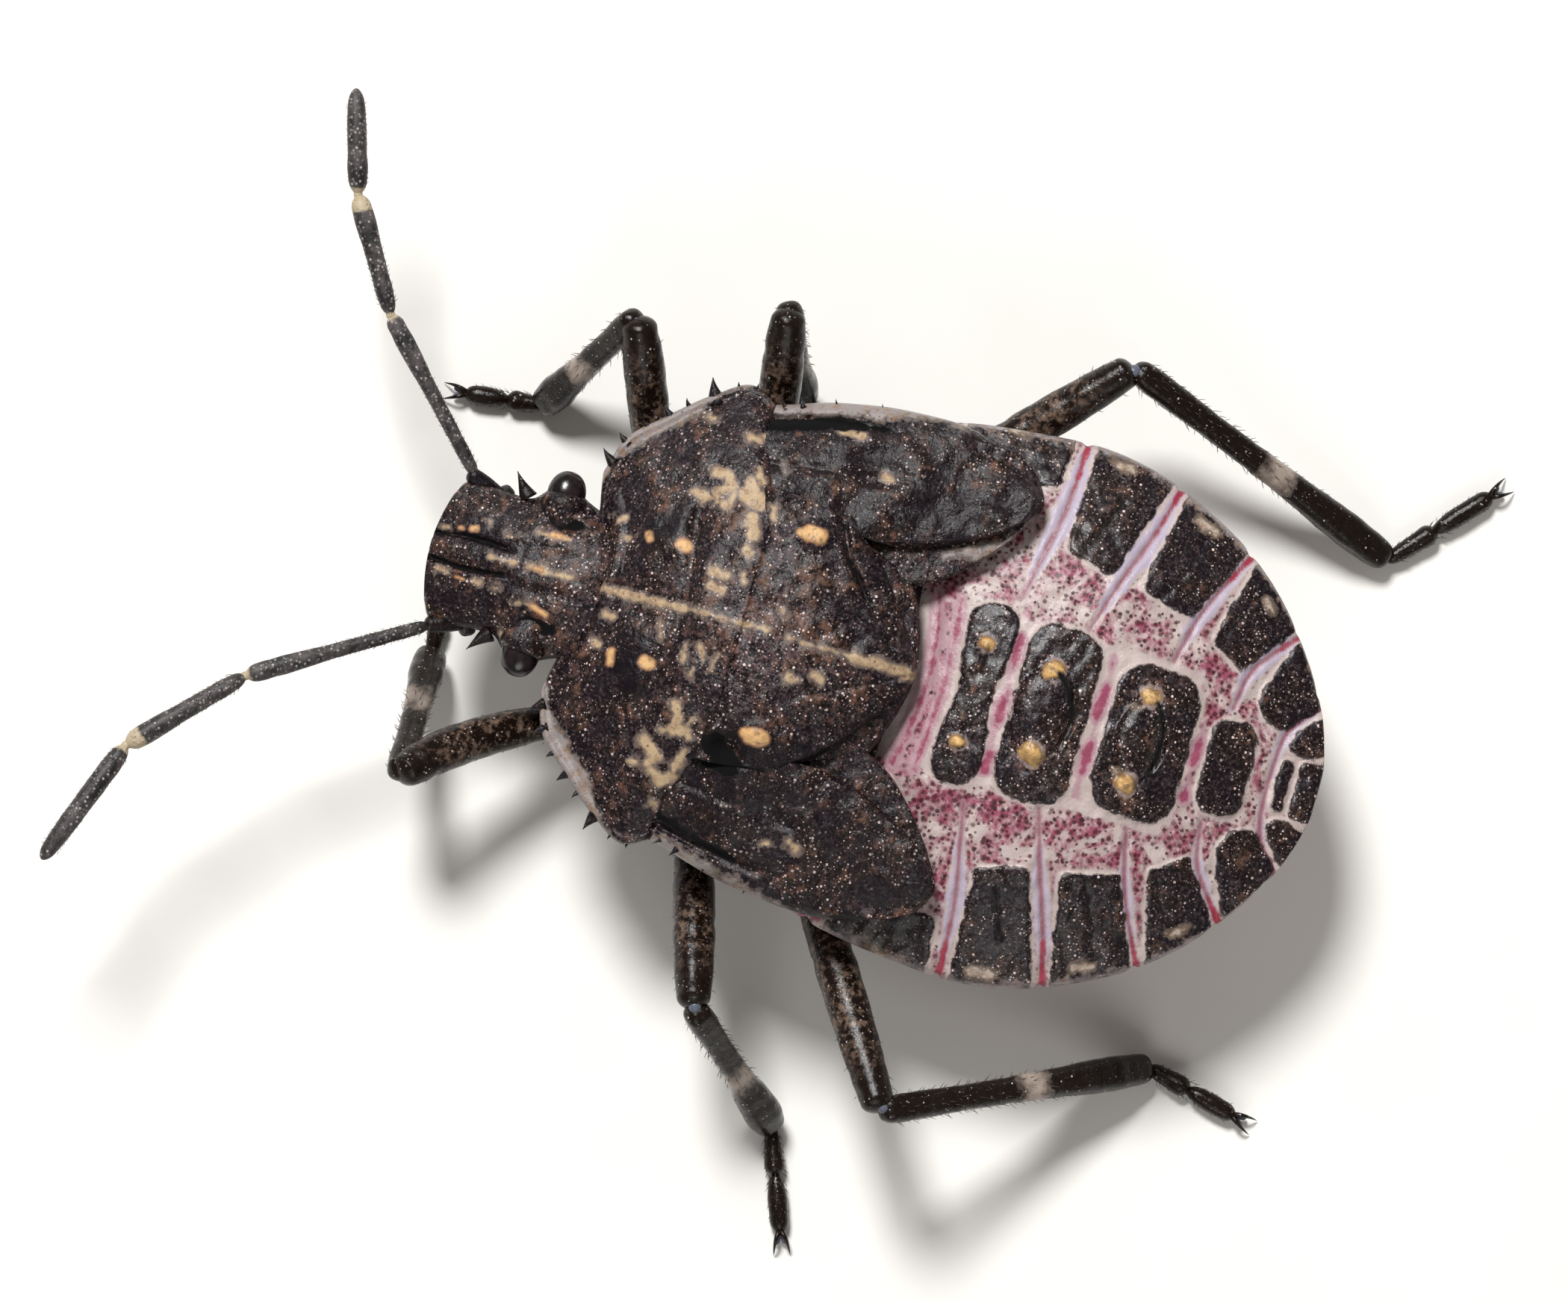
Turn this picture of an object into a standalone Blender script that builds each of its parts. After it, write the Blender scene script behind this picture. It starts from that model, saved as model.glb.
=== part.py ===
"""A shield bug nymph of the last stage before it is adult, standing, at life size.

The bug faces -Y, its left side is at +X, and its six feet stand on z = 0. Sizes are in
millimetres in the bug's own plan, where (0, 0) is the middle of the front edge of the
pronotum, the plate behind the head. Meshes are made in metres, and the whole bug is
shifted so that the origin is below the middle of its box.
"""

import bpy
import bmesh
import numpy as np

# Driving sizes, in millimetres
MM = 0.001
BOX_MIDDLE = (1.171, 2.631)
GAP = 0.25
EYE_GAP = 0.18
WELD = 0.0015

# Head
HEAD_TIP_Y = -2.46
HEAD_TIP_ARCH = 0.14
HEAD_RIM_WALL = 0.26
GROOVE_X = 0.2
GROOVE_DEPTH = 0.07
GROOVE_END_Y = -1.3
GROOVE_WIDTH = 0.07
HEAD_SPINE = ((1.0, -1.42, 2.62), (1.27, -1.62, 2.66), 0.13)
EYE_CENTRE = (1.13, -0.86, 2.93)
EYE_RADII = (0.29, 0.33, 0.3)
SCAPE = ((0.92, -1.78, 2.3), (1.06, -2.22, 2.46))
SCAPE_RADIUS = 0.22

# Feelers: the joints from the second segment to the tip, with the heights chosen for a raised feeler
FEELER_LEFT = ((1.09, -2.37, 2.5), (2.42, -4.33, 2.9), (3.76, -5.59, 3.1), (5.54, -6.24, 3.2))
FEELER_RIGHT = ((-1.06, -2.3, 2.5), (-2.78, -3.81, 2.9), (-4.2, -4.67, 3.1), (-5.56, -5.09, 3.2))
FEELER_NAMES = ("second", "third", "fourth")
FEELER_RADIUS = 0.25
FEELER_NECK = 0.15
FEELER_TIP = 0.1

# Beak, laid back under the body
BEAK_PATH = ((0.0, -1.75, 1.42), (0.0, -0.9, 1.22), (0.0, 0.5, 1.1), (0.0, 1.9, 1.1), (0.0, 3.1, 1.16))
BEAK_RADII = (0.2, 0.26, 0.25, 0.2, 0.1)

# Pronotum
COLLAR_X = 1.55
COLLAR_DROP = 0.48
PRONOTUM_SIDE = ((1.55, -0.48), (1.98, -0.26), (2.42, 0.22), (2.93, 0.72), (3.2, 1.15), (3.04, 1.48))
PRONOTUM_BACK_Y = 1.91
PRONOTUM_BACK_DROP = 0.43
PRONOTUM_BACK_FLAT = 1.2
PRONOTUM_RIDGE = (3.4, 4.22)
PRONOTUM_RIM = (3.02, 3.18)
PRONOTUM_RIM_WALL = 0.28
PRONOTUM_KEEL_Z = 1.62
PRONOTUM_TEETH = (
    ((1.72, -0.3, 2.94), (1.86, -0.58, 3.0), 0.1),
    ((1.98, -0.16, 2.94), (2.15, -0.44, 3.0), 0.11),
    ((2.42, 0.3, 2.94), (2.64, 0.06, 3.0), 0.11),
    ((2.84, 0.72, 2.94), (3.22, 0.56, 3.0), 0.14),
)

# Thorax with the scutellum
THORAX_HALF = 2.72
THORAX_RIM = (2.6, 2.82)
THORAX_RISE = 0.52
THORAX_KEEL_Z = 1.56
WAIST_Y = 3.86
WAIST_DROP = 0.35
SCUTELLUM_TIP_Y = 4.26
SCUTELLUM_EDGE_DROP = 0.24
SCUTELLUM_UNDER = (3.1, 3.6)
METANOTUM_Y = (3.1, 4.1)
METANOTUM_HALF = (1.5, 1.26)
METANOTUM_TOP = (3.78, 3.66)
METANOTUM_UNDER = (3.1, 3.46)
CALLUS = (1.42, 2.48, 0.17)
CALLUS_DROP = 0.2

# Wing pads
PAD_FRONT = ((1.98, 2.04), (2.5, 1.84), (3.1, 1.76))
PAD_INNER = ((1.98, 2.04), (1.87, 2.8), (1.6, 3.4), (1.92, 4.05), (2.14, 4.75), (2.36, 5.2))
PAD_OUTER = ((3.1, 1.76), (3.33, 2.5), (3.43, 3.3), (3.42, 4.1), (3.22, 4.68), (3.06, 5.06))
PAD_BACK = ((2.36, 5.2), (2.7, 5.28), (3.06, 5.06))
PAD_INNER_Z = (4.02, 3.82)
PAD_OUTER_Z = (3.4, 3.5)
PAD_BEVEL = 0.08
PAD_THICK = 0.44
UNDERPAD_FRONT = ((1.6, 3.7), (2.0, 3.66), (2.5, 3.7))
UNDERPAD_INNER = ((1.6, 3.7), (1.54, 4.2), (1.72, 4.68), (2.08, 5.04))
UNDERPAD_OUTER = ((2.5, 3.7), (2.7, 4.3), (2.75, 4.8), (2.7, 5.12))
UNDERPAD_BACK = ((2.08, 5.04), (2.36, 5.2), (2.7, 5.12))
UNDERPAD_Z = 3.66
UNDERPAD_THICK = 0.28

# Abdomen
ABDOMEN_END_Y = 9.93
RIM_Z = 2.7
RIM_WALL = 0.24
SEGMENT_ENDS = (4.2, 5.67, 7.03, 8.17, 9.05, 9.55)
NOTCH_DEPTH = 0.07
NOTCH_WIDTH = 0.09
PAD_BED = 0.16
PLATE_RISE = 0.08
PLATE_SINK = 0.14

# Plates at the margin, each by its outer front, outer back, inner back and inner front corners
SIDE_PLATES = (
    ((3.45, 4.4), (3.68, 5.56), (2.95, 5.48), (2.85, 4.5)),
    ((3.68, 5.8), (3.44, 6.94), (1.98, 6.46), (2.12, 5.8)),
    ((3.36, 7.16), (2.88, 8.1), (1.7, 7.6), (2.05, 6.86)),
    ((2.74, 8.26), (2.1, 8.96), (1.24, 8.5), (1.6, 7.96)),
    ((1.92, 9.12), (1.28, 9.54), (0.74, 9.14), (1.16, 8.8)),
)
TAIL_LOBE = ((1.06, 9.62), (0.72, 9.72), (0.4, 9.5), (0.62, 9.26))

# Plates on the middle line: middle y, half width, half length, narrowing at the waist
BACK_PLATES = (
    (5.06, 1.25, 0.36, 0.34),
    (6.1, 1.2, 0.52, 0.0),
    (7.49, 1.05, 0.53, 0.0),
    (8.66, 0.62, 0.3, 0.0),
    (9.38, 0.36, 0.12, 0.0),
    (9.72, 0.4, 0.14, 0.0),
)

# Swellings of the two gland plates: y of the middle, half width, half length
SWELLINGS = ((6.08, 0.62, 0.3), (7.46, 0.6, 0.28))

# Scent gland openings: half spacing, y and radius
GLANDS = ((0.68, 5.08, 0.11), (0.6, 6.02, 0.16), (0.63, 7.4, 0.14))

# Legs: joints as (x, y, z), with the coxa given by its place under the body
LEGS = {
    "fore_left": ((1.0, 0.35), (3.12, -2.0, 2.5), (1.28, -2.12), (0.13, -2.2)),
    "fore_right": ((-1.0, 0.35), (-3.72, -0.62, 2.5), (-2.42, -1.6), (-2.28, -2.72)),
    "mid_left": ((1.4, 1.75), (5.04, 2.66, 2.9), (6.22, 4.13), (7.62, 4.66)),
    "mid_right": ((-1.4, 1.75), (-4.33, 1.31, 3.0), (-3.45, 1.78), (-3.05, 3.2)),
    "hind_left": ((1.45, 3.0), (5.68, 5.44, 2.9), (4.03, 8.88), (4.36, 10.22)),
    "hind_right": ((-1.45, 3.0), (-4.94, 6.0, 2.2), (-3.57, 10.13), (-4.86, 11.3)),
}
COXA_RADIUS = 0.34
COXA_LENGTH = 0.62
COXA_LEAN = 0.25
COXA_TAPER = 0.8
HIP_RADIUS = 0.22
FEMUR_RADIUS = 0.28
KNEE_RADIUS = 0.2
TIBIA_RADIUS = 0.24
TARSUS_RADIUS = 0.2
TARSUS_END = 0.15
CLAW_LENGTH = 0.26
CLAW_RADIUS = 0.07
CLAW_SPREAD = 0.55
JOINT_SWELL = 1.2
LIMB_SIDES = 8

# Colours as linear red, green and blue, with a roughness
SHELL = ((0.024, 0.018, 0.014), 0.5)
LEG_BLACK = ((0.012, 0.009, 0.007), 0.3)
FEELER_GREY = ((0.03, 0.025, 0.024), 0.5)
EYE_MAROON = ((0.03, 0.012, 0.011), 0.25)
BELLY_PALE = ((0.42, 0.32, 0.28), 0.55)
BEAK_TAN = ((0.26, 0.17, 0.09), 0.45)


def clear_scene():
    for thing in list(bpy.data.objects):
        bpy.data.objects.remove(thing, do_unlink=True)


def ease(t):
    """A smooth step from 0 to 1."""
    t = np.clip(t, 0.0, 1.0)
    return t * t * (3.0 - 2.0 * t)


def between(ends, t):
    """The value at fraction t of the way from the first end to the second."""
    return ends[0] + (ends[1] - ends[0]) * t


def curve(keys, values, at):
    """Cubic Hermite curve through values at keys, with centred slopes."""
    keys = np.asarray(keys, float)
    values = np.asarray(values, float).reshape(len(keys), -1)
    slopes = np.gradient(values, keys, axis=0)
    at = np.clip(np.asarray(at, float), keys[0], keys[-1])
    k = np.clip(np.searchsorted(keys, at, side="right") - 1, 0, len(keys) - 2)
    span = keys[k + 1] - keys[k]
    t = ((at - keys[k]) / span)[..., None]
    span = span[..., None]
    start = (1 + 2 * t) * (1 - t) ** 2 * values[k] + t * (1 - t) ** 2 * span * slopes[k]
    end = t * t * (3 - 2 * t) * values[k + 1] + t * t * (t - 1) * span * slopes[k + 1]
    return start + end


def profile(*pairs):
    """A smooth function through (key, value) pairs."""
    keys = [pair[0] for pair in pairs]
    values = [pair[1] for pair in pairs]
    return lambda at: curve(keys, values, at)[..., 0]


def along(points, t):
    """The points at fractions t of a smooth curve through points, by chord length."""
    points = np.asarray(points, float)
    steps = np.linalg.norm(np.diff(points, axis=0), axis=1)
    keys = np.concatenate([[0.0], np.cumsum(steps)]) / steps.sum()
    return curve(keys, points, t)


# Profiles of the body along y, at its middle line and at its rims
head_half = profile(
    (-2.46, 0.62), (-2.3, 0.9), (-2.0, 0.97), (-1.6, 1.02), (-1.3, 1.03), (-0.9, 1.08), (-0.3, 1.06)
)
head_ridge = profile((-2.46, 2.52), (-1.7, 2.92), (-0.9, 3.2), (-0.2, 3.32))
head_rim = profile((-2.46, 2.44), (-1.7, 2.6), (-0.9, 2.85), (-0.2, 2.95))
head_keel = profile((-2.46, 2.05), (-2.1, 1.85), (-1.2, 1.8), (-0.2, 1.95))
abdomen_half = profile(
    (3.3, 3.0), (3.8, 3.32), (4.3, 3.52), (5.2, 3.71), (6.0, 3.74), (6.8, 3.58), (7.5, 3.31),
    (8.28, 2.85), (8.8, 2.38), (9.2, 1.9), (9.5, 1.45), (9.77, 0.9), (9.93, 0.34)
)
abdomen_ridge = profile(
    (3.3, 3.1), (4.1, 3.2), (4.6, 3.45), (5.4, 3.6), (6.6, 3.62), (7.6, 3.44), (8.6, 3.12), (9.4, 2.84),
    (9.93, 2.74)
)
abdomen_keel = profile(
    (3.3, 1.62), (4.4, 1.42), (5.8, 1.28), (7.2, 1.4), (8.4, 1.75), (9.3, 2.12), (9.93, 2.4)
)
scutellum_half = profile((1.9, 1.74), (2.4, 1.7), (2.9, 1.58), (3.38, 1.27), (3.8, 0.78), (4.26, 0.12))
scutellum_ridge = profile((1.9, 4.22), (2.4, 4.3), (3.2, 4.22), (4.26, 3.95))


def collar_y(x):
    """Front edge of the pronotum, hollowed for the head."""
    return -COLLAR_DROP * np.abs(x / COLLAR_X) ** 3


def pronotum_back_y(x):
    """Back edge of the pronotum, straight in the middle and drawn forward at the sides."""
    out = (np.abs(x) - PRONOTUM_BACK_FLAT) / 1.8
    return PRONOTUM_BACK_Y - PRONOTUM_BACK_DROP * ease(out)


def waist_y(x):
    """Line between thorax and abdomen."""
    return WAIST_Y - WAIST_DROP * (x / 3.0) ** 2


def abdomen_outline(y):
    """Half width of the abdomen, notched where two segments meet at the margin."""
    half = abdomen_half(y)
    for end in SEGMENT_ENDS:
        half = half - NOTCH_DEPTH * np.exp(-((y - end) / NOTCH_WIDTH) ** 2)
    return half


def abdomen_top(x, y):
    """Height of the back of the abdomen, lower under the wing pads."""
    out = np.clip(np.abs(x) / abdomen_half(y), 0.0, 1.0)
    dome = RIM_Z + (abdomen_ridge(y) - RIM_Z) * (1.0 - out ** 2.3)
    under_pad = ease((np.abs(x) - 1.3) / 0.5) * ease((5.6 - y) / 0.5)
    return dome - PAD_BED * under_pad * (1.0 - out)


def belly(out, low, keel, fullness):
    """Underside from its low rim to the keel, where out is 0 at the middle and 1 at the rim."""
    return low - (low - keel) * np.clip(1.0 - out * out, 0.0, 1.0) ** fullness


def prothorax_under(x, y):
    """Height of the underside of the first thorax segment at a place in plan."""
    half = 1.65 + 1.45 * ease((y + 0.4) / 1.9)
    return belly(np.clip(np.abs(x) / half, 0, 1), PRONOTUM_RIM[0] - 0.22, PRONOTUM_KEEL_Z, 1.2)


def thorax_under(x):
    """Height of the underside of the thorax."""
    return belly(np.clip(np.abs(x) / THORAX_HALF, 0, 1), THORAX_RIM[0], THORAX_KEEL_Z, 1.3)


def finish(mesh):
    """Welds stray doubles, turns the faces out and gives round forms smooth shading."""
    work = bmesh.new()
    work.from_mesh(mesh)
    bmesh.ops.triangulate(work, faces=work.faces)
    bmesh.ops.remove_doubles(work, verts=work.verts, dist=WELD * MM)
    bmesh.ops.recalc_face_normals(work, faces=work.faces)
    work.to_mesh(mesh)
    work.free()
    mesh.shade_smooth()
    mesh.set_sharp_from_angle(angle=0.7)


def solid(points, faces):
    """A closed piece from points in the bug's own plan."""
    points = np.asarray(points, float)
    points = points - np.array([*BOX_MIDDLE, 0.0])
    mesh = bpy.data.meshes.new("piece")
    mesh.from_pydata((points * MM).tolist(), [], faces)
    finish(mesh)
    piece = bpy.data.objects.new("piece", mesh)
    bpy.context.scene.collection.objects.link(piece)
    return piece


def grid_faces(rows, columns, start, closed=False):
    """Quads between rows of points, each row of the given number of columns."""
    faces = []
    for row in range(rows - 1):
        for column in range(columns if closed else columns - 1):
            a = start + row * columns + column
            b = start + row * columns + (column + 1) % columns
            faces.append((a, b, b + columns, a + columns))
    return faces


def pillow(x, y, top, bottom):
    """A closed body between two heights over one patch of plan, with a wall round its edge.

    x, y, top and bottom are arrays of rows by columns.
    """
    rows, columns = x.shape
    upper = np.stack([x, y, top], axis=-1).reshape(-1, 3)
    lower = np.stack([x, y, bottom], axis=-1).reshape(-1, 3)
    count = rows * columns
    faces = grid_faces(rows, columns, 0) + grid_faces(rows, columns, count)
    index = np.arange(count).reshape(rows, columns)
    rim = np.concatenate([index[0], index[1:, -1], index[-1, -2::-1], index[-2:0:-1, 0]]).tolist()
    for a, b in zip(rim, rim[1:] + rim[:1]):
        faces.append((a, b, b + count, a + count))
    return solid(np.concatenate([upper, lower]), faces)


def patch(front, back, inner, outer, s, t):
    """Plan points of a patch with four curved edges, blended from its edges.

    s runs from the inner to the outer edge and t from front to back, both from 0 to 1.
    """
    s, t = np.meshgrid(s, t)
    s = s[..., None]
    t = t[..., None]
    edges = (1 - t) * along(front, s[..., 0]) + t * along(back, s[..., 0])
    edges = edges + (1 - s) * along(inner, t[..., 0]) + s * along(outer, t[..., 0])
    corners = (1 - t) * ((1 - s) * np.array(front[0]) + s * np.array(front[-1]))
    corners = corners + t * ((1 - s) * np.array(back[0]) + s * np.array(back[-1]))
    place = edges - corners
    return place[..., 0], place[..., 1], s[..., 0], t[..., 0]


def unit(vector):
    """The vector scaled to length 1."""
    return np.asarray(vector, float) / np.linalg.norm(vector)


def tube(path, radii, sides=LIMB_SIDES):
    """A tube with flat ends along a path, its rings turned halfway at each bend and flat below."""
    path = np.asarray(path, float)
    steps = np.diff(path, axis=0)
    steps = steps / np.linalg.norm(steps, axis=1)[:, None]
    ahead = np.concatenate([steps[:1], steps[:-1] + steps[1:], steps[-1:]])
    ahead = ahead / np.linalg.norm(ahead, axis=1)[:, None]
    helper = np.array([0.0, 0.0, 1.0])
    if abs(steps[0] @ helper) > 0.97:
        helper = np.array([0.0, 1.0, 0.0])
    angles = 2 * np.pi * (np.arange(sides) + 0.5) / sides
    rings = []
    for centre, forward, radius in zip(path, ahead, radii):
        across = unit(np.cross(forward, helper))
        up = np.cross(across, forward)
        spokes = np.cos(angles)[:, None] * across + np.sin(angles)[:, None] * up
        rings.append(centre + radius * spokes)
    faces = grid_faces(len(path), sides, 0, closed=True)
    faces.append(tuple(range(sides)))
    faces.append(tuple(range((len(path) - 1) * sides, len(path) * sides)))
    return solid(np.concatenate(rings), faces)


def ball(centre, radii, around=8, high=4):
    """An ellipsoid of rings between two poles."""
    tilt = np.pi * np.arange(1, high) / high
    turn = 2 * np.pi * np.arange(around) / around
    ring = np.stack([np.cos(turn), np.sin(turn), np.zeros(around)], axis=-1)
    points = np.concatenate([np.sin(a) * ring + np.array([0, 0, np.cos(a)]) for a in tilt])
    points = np.concatenate([points, [[0, 0, 1.0], [0, 0, -1.0]]])
    faces = grid_faces(high - 1, around, 0, closed=True)
    top = len(points) - 2
    last = (high - 2) * around
    for k in range(around):
        faces.append((top, k, (k + 1) % around))
        faces.append((top + 1, last + (k + 1) % around, last + k))
    return solid(points * np.asarray(radii) + np.asarray(centre), faces)


def spine(base, tip, radius, sides=6):
    """A tapered spine, its root sunk in the surface behind the base."""
    base = np.asarray(base, float)
    tip = np.asarray(tip, float)
    middle = base + 0.55 * (tip - base)
    return tube((base, middle, tip), (radius, 0.5 * radius, 0.12 * radius), sides)


def raised_plate(outline, top, inner_ring=True):
    """A plate on a surface: its edge is sunk, its shoulder bevelled and its face follows the surface."""
    outline = np.asarray(outline, float)
    centre = outline.mean(axis=0)
    levels = [(1.0, -PLATE_SINK), (1.0, 0.25 * PLATE_RISE), (0.86, PLATE_RISE)]
    if inner_ring:
        levels.append((0.45, PLATE_RISE))
    rings = []
    for scale, lift in levels:
        plan = centre + scale * (outline - centre)
        rings.append(np.column_stack([plan, top(plan[:, 0], plan[:, 1]) + lift]))
    middle = float(top(centre[0], centre[1]))
    poles = [[*centre, middle + PLATE_RISE], [*centre, middle - PLATE_SINK]]
    count = len(outline)
    faces = grid_faces(len(levels), count, 0, closed=True)
    last = (len(levels) - 1) * count
    for k in range(count):
        faces.append((len(levels) * count, last + k, last + (k + 1) % count))
        faces.append((len(levels) * count + 1, (k + 1) % count, k))
    return solid(np.concatenate([*rings, poles]), faces)


def largest(mesh):
    """Keeps the closed surface with the largest area and deletes the rest."""
    work = bmesh.new()
    work.from_mesh(mesh)
    left = set(work.faces)
    shells = []
    while left:
        shell = {left.pop()}
        waiting = list(shell)
        while waiting:
            face = waiting.pop()
            for side in face.edges:
                for other in side.link_faces:
                    if other in left:
                        left.remove(other)
                        shell.add(other)
                        waiting.append(other)
        shells.append(shell)
    sizes = [sum(face.calc_area() for face in shell) for shell in shells]
    keep = shells[int(np.argmax(sizes))]
    drop = [face for face in work.faces if face not in keep]
    bmesh.ops.delete(work, geom=drop, context="FACES")
    work.to_mesh(mesh)
    work.free()


def is_closed(mesh):
    """True where every edge has just two faces."""
    work = bmesh.new()
    work.from_mesh(mesh)
    closed = all(len(edge.link_faces) == 2 for edge in work.edges)
    work.free()
    return closed


def combine(pieces, operation):
    """Joins the pieces into the first one, or cuts them from it, by one Boolean on a collection."""
    base = pieces[0]
    group = bpy.data.collections.new("joined")
    for piece in pieces[1:]:
        group.objects.link(piece)
    step = base.modifiers.new("join", "BOOLEAN")
    step.operation = operation
    step.operand_type = "COLLECTION"
    step.collection = group
    for solver in ("EXACT", "MANIFOLD"):
        step.solver = solver
        graph = bpy.context.evaluated_depsgraph_get()
        mesh = bpy.data.meshes.new_from_object(base.evaluated_get(graph))
        largest(mesh)
        finish(mesh)
        if is_closed(mesh):
            break
    base.modifiers.clear()
    for piece in pieces[1:]:
        bpy.data.objects.remove(piece, do_unlink=True)
    bpy.data.collections.remove(group)
    base.data = mesh
    return base


def union(pieces):
    """Joins closed pieces that overlap into one."""
    return combine(pieces, "UNION") if len(pieces) > 1 else pieces[0]


def name_node(piece, name, finish_values):
    """Gives a finished piece its node name and a material of its own."""
    colour, roughness = finish_values
    piece.name = name
    piece.data.name = name
    material = bpy.data.materials.new(name)
    material.use_nodes = True
    shader = material.node_tree.nodes["Principled BSDF"]
    shader.inputs["Base Color"].default_value = (*colour, 1.0)
    shader.inputs["Roughness"].default_value = roughness
    shader.inputs["Metallic"].default_value = 0.0
    piece.data.materials.clear()
    piece.data.materials.append(material)
    return piece


def both_sides(values):
    """Mirrors a list from 0 to 1 into one from -1 to 1."""
    values = np.asarray(values, float)
    return np.concatenate([-values[:0:-1], values])


def build_head():
    """The head with its grooves, side spines and the feelers' first segments, and the two eyes."""
    s, t = np.meshgrid(both_sides([0, 0.11, 0.2, 0.29, 0.5, 0.72, 0.9, 1.0]), np.linspace(0, 1, 13))
    front = HEAD_TIP_Y + HEAD_TIP_ARCH * s * s
    middle_y = HEAD_TIP_Y + t * (-GAP - HEAD_TIP_Y)
    x = s * head_half(middle_y)
    y = front + t * (collar_y(x) - GAP - front)
    out = np.abs(s)
    rim = head_rim(middle_y)
    top = rim + (head_ridge(middle_y) - rim) * (1.0 - out ** 2.4)
    groove = np.exp(-((np.abs(x) - GROOVE_X) / GROOVE_WIDTH) ** 2)
    top = top - GROOVE_DEPTH * groove * ease((GROOVE_END_Y - y) / 0.25)
    bottom = belly(out, rim - HEAD_RIM_WALL, head_keel(middle_y), 0.7)
    pieces = [pillow(x, y, top, bottom)]
    for side in (-1, 1):
        mirror = np.array([side, 1, 1])
        base, tip, radius = HEAD_SPINE
        pieces.append(spine(base * mirror, tip * mirror, radius))
        pieces.append(tube(np.array(SCAPE) * mirror, (SCAPE_RADIUS, SCAPE_RADIUS)))
    head = union(pieces)
    grown = np.array(EYE_RADII) + EYE_GAP
    sockets = [ball(np.array(EYE_CENTRE) * (side, 1, 1), grown, 12, 8) for side in (-1, 1)]
    head = combine([head, *sockets], "DIFFERENCE")
    name_node(head, "head", SHELL)
    for side, word in ((-1, "right"), (1, "left")):
        eye = ball(np.array(EYE_CENTRE) * (side, 1, 1), EYE_RADII, 14, 10)
        name_node(eye, "eye_" + word, EYE_MAROON)


def build_feelers():
    """The second to fourth segments of both feelers."""
    for word, joints in (("left", FEELER_LEFT), ("right", FEELER_RIGHT)):
        for k, name in enumerate(FEELER_NAMES):
            start, end = np.array(joints[k]), np.array(joints[k + 1])
            ahead = unit(end - start)
            start = start + 0.5 * GAP * ahead
            last = k == len(FEELER_NAMES) - 1
            end = end if last else end - 0.5 * GAP * ahead
            stops = np.array([0, 0.12, 0.5, 0.88, 1])
            path = start + stops[:, None] * (end - start)
            end_radius = FEELER_TIP if last else FEELER_NECK
            near_end = 0.8 if last else 0.95
            radii = FEELER_RADIUS * np.array([0.6, 0.96, 1.0, near_end, end_radius / FEELER_RADIUS])
            name_node(tube(path, radii), f"antenna_{word}_{name}", FEELER_GREY)


def build_beak():
    """The beak, folded back between the legs."""
    name_node(tube(BEAK_PATH, BEAK_RADII), "rostrum", BEAK_TAN)


def build_pronotum():
    """The first thorax segment: the pronotum above, with its teeth, and its underside."""
    s, t = np.meshgrid(both_sides([0, 0.2, 0.4, 0.58, 0.74, 0.87, 0.95, 1.0]), np.linspace(0, 1, 12))
    side = along(PRONOTUM_SIDE, t)
    back_half = PRONOTUM_SIDE[-1][0]
    front_x = COLLAR_X * s
    back_x = back_half * s
    share = np.abs(s)
    straight_x = COLLAR_X + t * (back_half - COLLAR_X)
    straight_y = collar_y(COLLAR_X) + t * (pronotum_back_y(back_half) - collar_y(COLLAR_X))
    x = (1 - t) * front_x + t * back_x + s * (side[..., 0] - straight_x)
    y = (1 - t) * collar_y(front_x) + t * pronotum_back_y(back_x) + share * (side[..., 1] - straight_y)
    ridge = between(PRONOTUM_RIDGE, ease(0.15 + 0.85 * t))
    rim = between(PRONOTUM_RIM, t)
    top = rim + (ridge - rim) * (1.0 - share ** 2.1)
    bottom = belly(share, rim - PRONOTUM_RIM_WALL, PRONOTUM_KEEL_Z, 1.2)
    pieces = [pillow(x, y, top, bottom)]
    for base, tip, radius in PRONOTUM_TEETH:
        for side_sign in (-1, 1):
            mirror = np.array([side_sign, 1, 1])
            pieces.append(spine(base * mirror, tip * mirror, radius))
    name_node(union(pieces), "pronotum", SHELL)


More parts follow.
